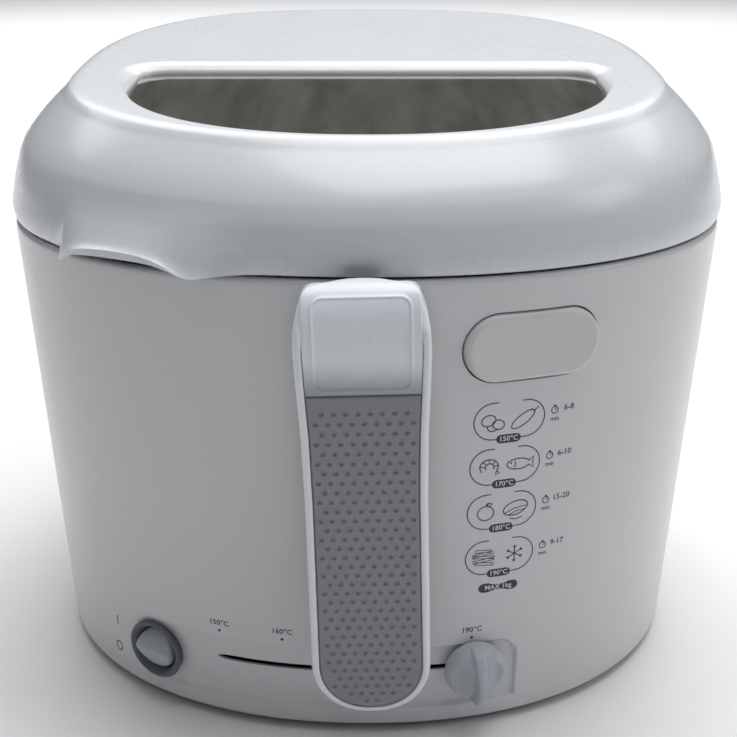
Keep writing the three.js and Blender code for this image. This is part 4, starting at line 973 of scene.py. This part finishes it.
# ------------------------------------------------------------------ finishes of the carried-over pieces
CARRY = {
    "base_plate": M_BASE, "foot_front_left": M_RUB, "foot_front_right": M_RUB, "foot_rear_left": M_RUB, "foot_rear_right": M_RUB, "cord_gland": M_RUB,
    "heating_element": M_HOT, "heat_shield": M_SHEET, "thermal_cutout": M_DARK, "terminal_block": M_INNER, "thermostat_body": M_INNER, "switch_body": M_DARK,
    "thermostat_shoe": M_DARK, "latch_plate": M_INNER, "handle_mount": M_INNER, "handle_pin": M_SHEET, "basket_carrier": M_SHEET, "hinge_pin_left": M_SHEET, "hinge_pin_right": M_SHEET,
    "filter_frame": M_INNER, "filter_mesh": M_FILT, "lid_catch": M_INNER,
}
for n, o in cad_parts.items():
    m = CARRY.get(n, M_SHEET if "screw" in n else None)
    if m is not None:
        o.data.materials.clear(); o.data.materials.append(m)

# ------------------------------------------------------------------ printing on the front wall
PRINT = []


def wall_map(u, v, s0, z0, off):
    """Maps drawn millimetres (u right, v up) round the point s0 (arc length), z0 to the wall."""
    z = z0 + v
    x = arc_x_fast(s0 + u, z)
    p, nrm = front_point(x, z, off)
    return p


_AX = {}


def arc_x_fast(s, z):
    k = int(round(z))
    if k not in _AX:
        xs = np.linspace(0, 125, 126)
        ys = np.array([front_point(x, float(k))[0][1] for x in xs])
        _AX[k] = (np.concatenate([[0], np.cumsum(np.hypot(np.diff(xs), np.diff(ys)))]), xs)
    L, xs = _AX[k]
    return math.copysign(float(np.interp(abs(s), L, xs)), s)


def arc_of(x, z):
    arc_x_fast(0, z)
    L, xs = _AX[int(round(z))]
    return math.copysign(float(np.interp(abs(x), xs, L)), x)


def ink(name, V2, F, s0, z0, off=0.0, th=0.06, mat=None, body="housing"):
    """A thin printed film: flat drawing V2 (mm) with faces F, lifted onto the wall and closed at its edges."""
    V2 = np.asarray(V2, float)
    top = np.array([wall_map(u, v, s0, z0, off + th) for u, v in V2])
    bot = np.array([wall_map(u, v, s0, z0, off - 0.03) for u, v in V2])
    n = len(V2)
    edges = {}
    for f in F:
        for a, b in zip(f, list(f[1:]) + [f[0]]):
            edges[(a, b)] = edges.get((a, b), 0) + 1
    FF = [list(f) for f in F] + [[q + n for q in f[::-1]] for f in F]
    for (a, b) in edges:
        if (b, a) not in edges:
            FF.append([a, a + n, b + n, b])
    ob = mesh_obj(name, np.vstack([top, bot]), FF, mat or M_INK, sharp=40)
    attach(ob, body)
    PRINT.append(ob)
    return ob


def ribbon(pts, w, closed=False):
    """Flat stroke of width w along drawn points."""
    P = np.asarray(pts, float)
    if closed:
        T = np.roll(P, -1, 0) - np.roll(P, 1, 0)
    else:
        T = np.gradient(P, axis=0)
    T /= np.maximum(np.linalg.norm(T, axis=1, keepdims=True), 1e-9)
    Nn = np.stack([-T[:, 1], T[:, 0]], 1)
    A, B = P + Nn * w / 2, P - Nn * w / 2
    n = len(P)
    V = np.vstack([A, B])
    F = [[j, n + j, n + (j + 1) % n, (j + 1) % n] for j in range(n if closed else n - 1)]
    return V, F


def merge(parts):
    V, F, o = [], [], 0
    for v, f in parts:
        V.append(np.asarray(v)); F += [[q + o for q in g] for g in f]; o += len(v)
    return np.vstack(V), F


def disc_fan(cx, cy, r, n=20, ry=None):
    t = np.arange(n) * 2 * math.pi / n
    V = np.vstack([[cx, cy], np.stack([cx + r * np.cos(t), cy + (ry or r) * np.sin(t)], 1)])
    return V, [[0, 1 + j, 1 + (j + 1) % n] for j in range(n)]


def text_mesh(s, size, bold=0.0):
    cu = bpy.data.curves.new("t", "FONT")
    cu.body = s; cu.size = size; cu.align_x = "CENTER"; cu.align_y = "CENTER"; cu.resolution_u = 3
    cu.offset = bold
    ob = bpy.data.objects.new("t", cu)
    bpy.context.scene.collection.objects.link(ob)
    bpy.context.view_layer.update()
    dg = bpy.context.evaluated_depsgraph_get()
    me = bpy.data.meshes.new_from_object(ob.evaluated_get(dg))
    V = np.array([v.co[:2] for v in me.vertices]).reshape(-1, 2)
    F = [list(p.vertices) for p in me.polygons]
    nz = [p.normal.z for p in me.polygons]
    F = [f if z > 0 else f[::-1] for f, z in zip(F, nz)]
    bpy.data.objects.remove(ob, do_unlink=True); bpy.data.meshes.remove(me)
    # join coincident corners so that the film closes
    key = {}
    idx = []
    for v in V:
        k = (round(v[0], 4), round(v[1], 4))
        idx.append(key.setdefault(k, len(key)))
    V2 = np.array(list(key.keys()))
    F2 = []
    for f in F:
        g = [idx[q] for q in f]
        g = [q for i, q in enumerate(g) if q != g[i - 1]]
        if len(g) >= 3:
            F2.append(g)
    return V2, F2


def oval(cx, cy, rx, ry, n=40, a0=0, a1=2 * math.pi, rot=0.0):
    t = np.linspace(a0, a1, n, endpoint=(a1 - a0) < 6.28)
    x, y = rx * np.cos(t), ry * np.sin(t)
    return np.stack([cx + x * math.cos(rot) - y * math.sin(rot), cy + x * math.sin(rot) + y * math.cos(rot)], 1)


def printing():
    # cooking guide: four capsules, each with two foods, a temperature pill and a timer mark
    caps = [(52.0, 135.0, "150°C", "6-8"), (51.2, 116.3, "170°C", "6-10"), (50.9, 97.3, "180°C", "15-20"), (50.9, 77.2, "190°C", "9-17")]
    sw = 0.42
    for k, (x, z, deg, mins) in enumerate(caps):
        s0 = arc_of(x, z)
        parts = []
        st = stadium(27.6, 14.8, 16)
        parts.append(ribbon(st, sw, True))
        pill = stadium(9.6, 3.5, 8); pill = pill + np.array([-0.2, -7.4])
        n = len(pill)
        # foods, drawn generically as line pictograms
        if k == 0:
            parts += [ribbon(oval(-8.2, 0.4, 2.7, 2.2, 24, rot=0.3), sw, True), ribbon(oval(-4.4, -1.4, 2.3, 1.9, 22, rot=-0.3), sw, True), ribbon(oval(-6.6, -2.4, 2.0, 1.5, 18, math.pi * 0.9, math.pi * 1.9), sw)]
            parts += [ribbon(oval(5.2, -0.3, 5.3, 2.0, 34, rot=0.62), sw, True), ribbon([(9.3, 2.6), (10.4, 3.4), (11.2, 4.2)], sw), ribbon([(8.2, 3.6), (9.2, 2.9), (9.9, 1.9)], sw)]
        elif k == 1:
            parts += [ribbon(oval(-6.4, 0.2, 3.6, 3.0, 26, -0.6, 3.9), sw), ribbon(oval(-6.2, 0.0, 1.7, 1.5, 18, -0.6, 3.9), sw)]
            for a in np.linspace(0.1, 3.1, 5):
                parts.append(ribbon([(-6.3 + 1.7 * math.cos(a), 0.1 + 1.5 * math.sin(a)), (-6.4 + 3.6 * math.cos(a), 0.2 + 3.0 * math.sin(a))], sw * 0.8))
            parts += [ribbon([(-3.4, -1.6), (-2.2, -2.6), (-3.9, -3.2), (-3.4, -1.6)], sw)]
            parts += [ribbon(oval(5.2, 0.2, 4.6, 2.2, 30, 0.35, 5.93), sw), ribbon([(9.4, 0.9), (11.4, 2.6), (11.0, 0.2), (11.4, -2.2), (9.4, -0.6)], sw), ribbon(oval(2.6, 0.2, 1.4, 2.0, 12, -0.8, 0.8), sw * 0.8), disc_fan(2.2, 0.8, 0.38, 10)]
        elif k == 2:
            parts += [ribbon(oval(-6.6, -0.5, 3.2, 3.0, 30, 1.75, 1.75 + 5.9), sw), ribbon([(-6.7, 2.0), (-6.4, 3.2), (-5.6, 4.0)], sw), ribbon(oval(-5.2, 3.1, 1.1, 0.5, 14, rot=0.5), sw * 0.8, True)]
            parts += [ribbon(oval(5.4, 0.4, 5.0, 2.9, 34, rot=0.25), sw, True), ribbon([(1.2, -1.4), (4.6, 0.2), (9.8, 0.9)], sw * 0.8), ribbon([(2.6, -2.4), (5.6, -1.0), (9.6, -0.6)], sw * 0.8), ribbon(oval(5.6, -3.6, 2.4, 0.8, 14, math.pi, 2 * math.pi), sw * 0.8)]
        else:
            for q, (x0, y0, a, l) in enumerate([(-6.8, 1.6, 0.15, 8.4), (-6.4, 0.2, -0.1, 8.8), (-6.6, -1.2, 0.12, 8.4), (-6.2, -2.7, -0.12, 7.6), (-6.8, 2.9, -0.05, 6.4)]):
                c, s = math.cos(a), math.sin(a)
                h = 0.55
                pts = [(-l / 2, -h), (l / 2, -h), (l / 2, h), (-l / 2, h), (-l / 2, -h)]
                parts.append(ribbon([(x0 + c * u - s * v, y0 + s * u + c * v) for u, v in pts], sw * 0.8))
            for q in range(3):
                a = q * math.pi / 3 + math.pi / 6
                parts.append(ribbon([(6 - 3.6 * math.cos(a), 0.2 - 3.6 * math.sin(a)), (6 + 3.6 * math.cos(a), 0.2 + 3.6 * math.sin(a))], sw))
            for q in range(6):
                a = q * math.pi / 3 + math.pi / 6
                for b in (0.5, -0.5):
                    p = np.array([6 + 2.4 * math.cos(a), 0.2 + 2.4 * math.sin(a)])
                    parts.append(ribbon([p, p + 1.2 * np.array([math.cos(a + b), math.sin(a + b)])], sw * 0.8))
        V, F = merge(parts)
        ink(f"guide_{k + 1}", V, F, s0, z)
        ink(f"guide_pill_{k + 1}", np.vstack([[pill.mean(0)], pill]), [[0, 1 + j, 1 + (j + 1) % n] for j in range(n)], s0, z)
        V, F = text_mesh(deg, 2.9, 0.03)
        ink(f"guide_deg_{k + 1}", V + np.array([-0.2, -7.45]), F, s0, z, off=0.06, th=0.05, mat=M_PAPER)
        # timer mark and minutes
        sx = arc_of(x, z) + 18.0
        V, F = merge([ribbon(oval(0, 0.4, 1.35, 1.35, 24), 0.38, True), ribbon([(0, 0.4), (0.7, 1.1)], 0.34), ribbon([(-0.5, 2.2), (0.5, 2.2)], 0.5), ribbon([(0, 1.7), (0, 2.2)], 0.34)])
        ink(f"timer_{k + 1}", V, F, sx, z + 1.2)
        V, F = text_mesh(mins, 3.3, 0.03)
        ink(f"minutes_{k + 1}", V + np.array([5.0 + 0.35 * len(mins), 0.9]), F, sx, z + 1.0)
        V, F = text_mesh("min", 2.5, 0.02)
        ink(f"min_{k + 1}", V + np.array([0.2, -3.2]), F, sx, z + 1.2)
    # load mark
    s0 = arc_of(50.9, 63.3)
    pill = stadium(16.2, 4.1, 8)
    n = len(pill)
    ink("load_pill", np.vstack([[pill.mean(0)], pill]), [[0, 1 + j, 1 + (j + 1) % n] for j in range(n)], s0, 63.3)
    V, F = text_mesh("MAX 1kg", 2.9, 0.03)
    ink("load_text", V, F, s0, 63.3, off=0.06, th=0.05, mat=M_PAPER)
    # scale of the temperature slider
    for x, deg in ((-58.8, "150°C"), (-33.4, "160°C"), (-8.6, "170°C"), (16.4, "180°C"), (41.2, "190°C")):
        s = arc_of(x, 41)
        V, F = text_mesh(deg, 3.3, 0.04)
        ink(f"scale_{deg[:3]}", V, F, s, 44.6 if abs(x + 58.8) > 1 else 44.6)
        V, F = disc_fan(0, 0, 0.62)
        ink(f"scale_dot_{deg[:3]}", V, F, s, 41.0)
    # on and off marks
    s = arc_of(-105.9, 28)
    V, F = ribbon([(0, -2.3), (0, 0), (0, 2.3)], 0.55)
    ink("mark_on", V, F, s, 27.8)
    V, F = ribbon(oval(0, 0, 1.9, 2.3, 30), 0.55, True)
    ink("mark_off", V, F, arc_of(-106.3, 14), 14.2)


printing()

# ------------------------------------------------------------------ stage, light and camera
def stage():
    me = bpy.data.meshes.new("floor")
    s = 6.0
    # flat floor, reaching far behind the part
    prof = [(-s, 0.0), (0.0, 0.0), (14.0, 0.0)]
    V, F = [], []
    for i, (y, z) in enumerate(prof):
        V += [(-s, y, z), (s, y, z)]
        if i:
            F.append([2 * i - 2, 2 * i - 1, 2 * i + 1, 2 * i])
    me.from_pydata(V, [], F)
    me.polygons.foreach_set("use_smooth", [True] * len(me.polygons))
    ob = bpy.data.objects.new("floor", me)
    bpy.context.scene.collection.objects.link(ob)
    m, nt, b = nodes_of("floor_paper")
    b.inputs["Roughness"].default_value = 0.9
    N, L = nt.nodes, nt.links
    n1 = N.new("ShaderNodeTexNoise"); n1.inputs["Scale"].default_value = 3
    mx = N.new("ShaderNodeMix"); mx.data_type = "RGBA"
    mx.inputs["A"].default_value = (0.83, 0.83, 0.835, 1); mx.inputs["B"].default_value = (0.86, 0.86, 0.86, 1)
    L.new(n1.outputs["Fac"], mx.inputs["Factor"]); L.new(mx.outputs["Result"], b.inputs["Base Color"])
    me.materials.append(m)


stage()


def area(name, loc, target, size, power, color=(1, 1, 1)):
    d = bpy.data.lights.new(name, "AREA")
    d.shape = "RECTANGLE"; d.size, d.size_y = size; d.energy = power; d.color = color
    o = bpy.data.objects.new(name, d)
    o.location = loc
    o.rotation_euler = (Vector(target) - Vector(loc)).to_track_quat("-Z", "Y").to_euler()
    bpy.context.scene.collection.objects.link(o)
    return o


area("key_top", (0.22, 0.10, 1.75), (0, 0, 0.1), (1.2, 1.2), 19, (0.985, 0.995, 1.0))
area("fill_right", (1.5, -0.45, 1.15), (0, 0, 0.15), (0.7, 0.7), 3.6, (0.99, 0.995, 1.0))
area("floor_wash", (0.0, 2.6, 2.3), (0.0, 3.0, 0.0), (5.0, 3.4), 130, (1.0, 1.0, 1.0))
w = bpy.data.worlds.new("studio")
w.use_nodes = True
wn, wl = w.node_tree.nodes, w.node_tree.links
tcw = wn.new("ShaderNodeTexCoord"); sep = wn.new("ShaderNodeSeparateXYZ"); crw = wn.new("ShaderNodeValToRGB")
wl.new(tcw.outputs["Generated"], sep.inputs["Vector"]); wl.new(sep.outputs["Z"], crw.inputs["Fac"])
crw.color_ramp.elements[0].position = 0.0; crw.color_ramp.elements[0].color = (0.10, 0.10, 0.105, 1)
crw.color_ramp.elements[1].position = 0.95; crw.color_ramp.elements[1].color = (0.92, 0.96, 1.0, 1)
e = crw.color_ramp.elements.new(0.35); e.color = (0.13, 0.13, 0.135, 1)
wl.new(crw.outputs["Color"], wn["Background"].inputs["Color"])
wn["Background"].inputs["Strength"].default_value = 0.42
bpy.context.scene.world = w
try:
    bpy.context.scene.view_settings.view_transform = "Standard"
except Exception:
    pass

cam = bpy.data.cameras.new("camera")
cam.sensor_width = 36.0; cam.sensor_fit = "HORIZONTAL"
cam.lens = 36.0 * 1130.0 / 737.0
cam.shift_x = (368.5 - 367.0) / 737.0
cam.clip_start = 0.02; cam.clip_end = 60
co = bpy.data.objects.new("camera", cam)
co.location = (0.0, (-492.59 + YS) * MM, (301.31 + ZS) * MM)
co.rotation_euler = (math.radians(90 - 21.26), 0, 0)
bpy.context.scene.collection.objects.link(co)
bpy.context.scene.camera = co
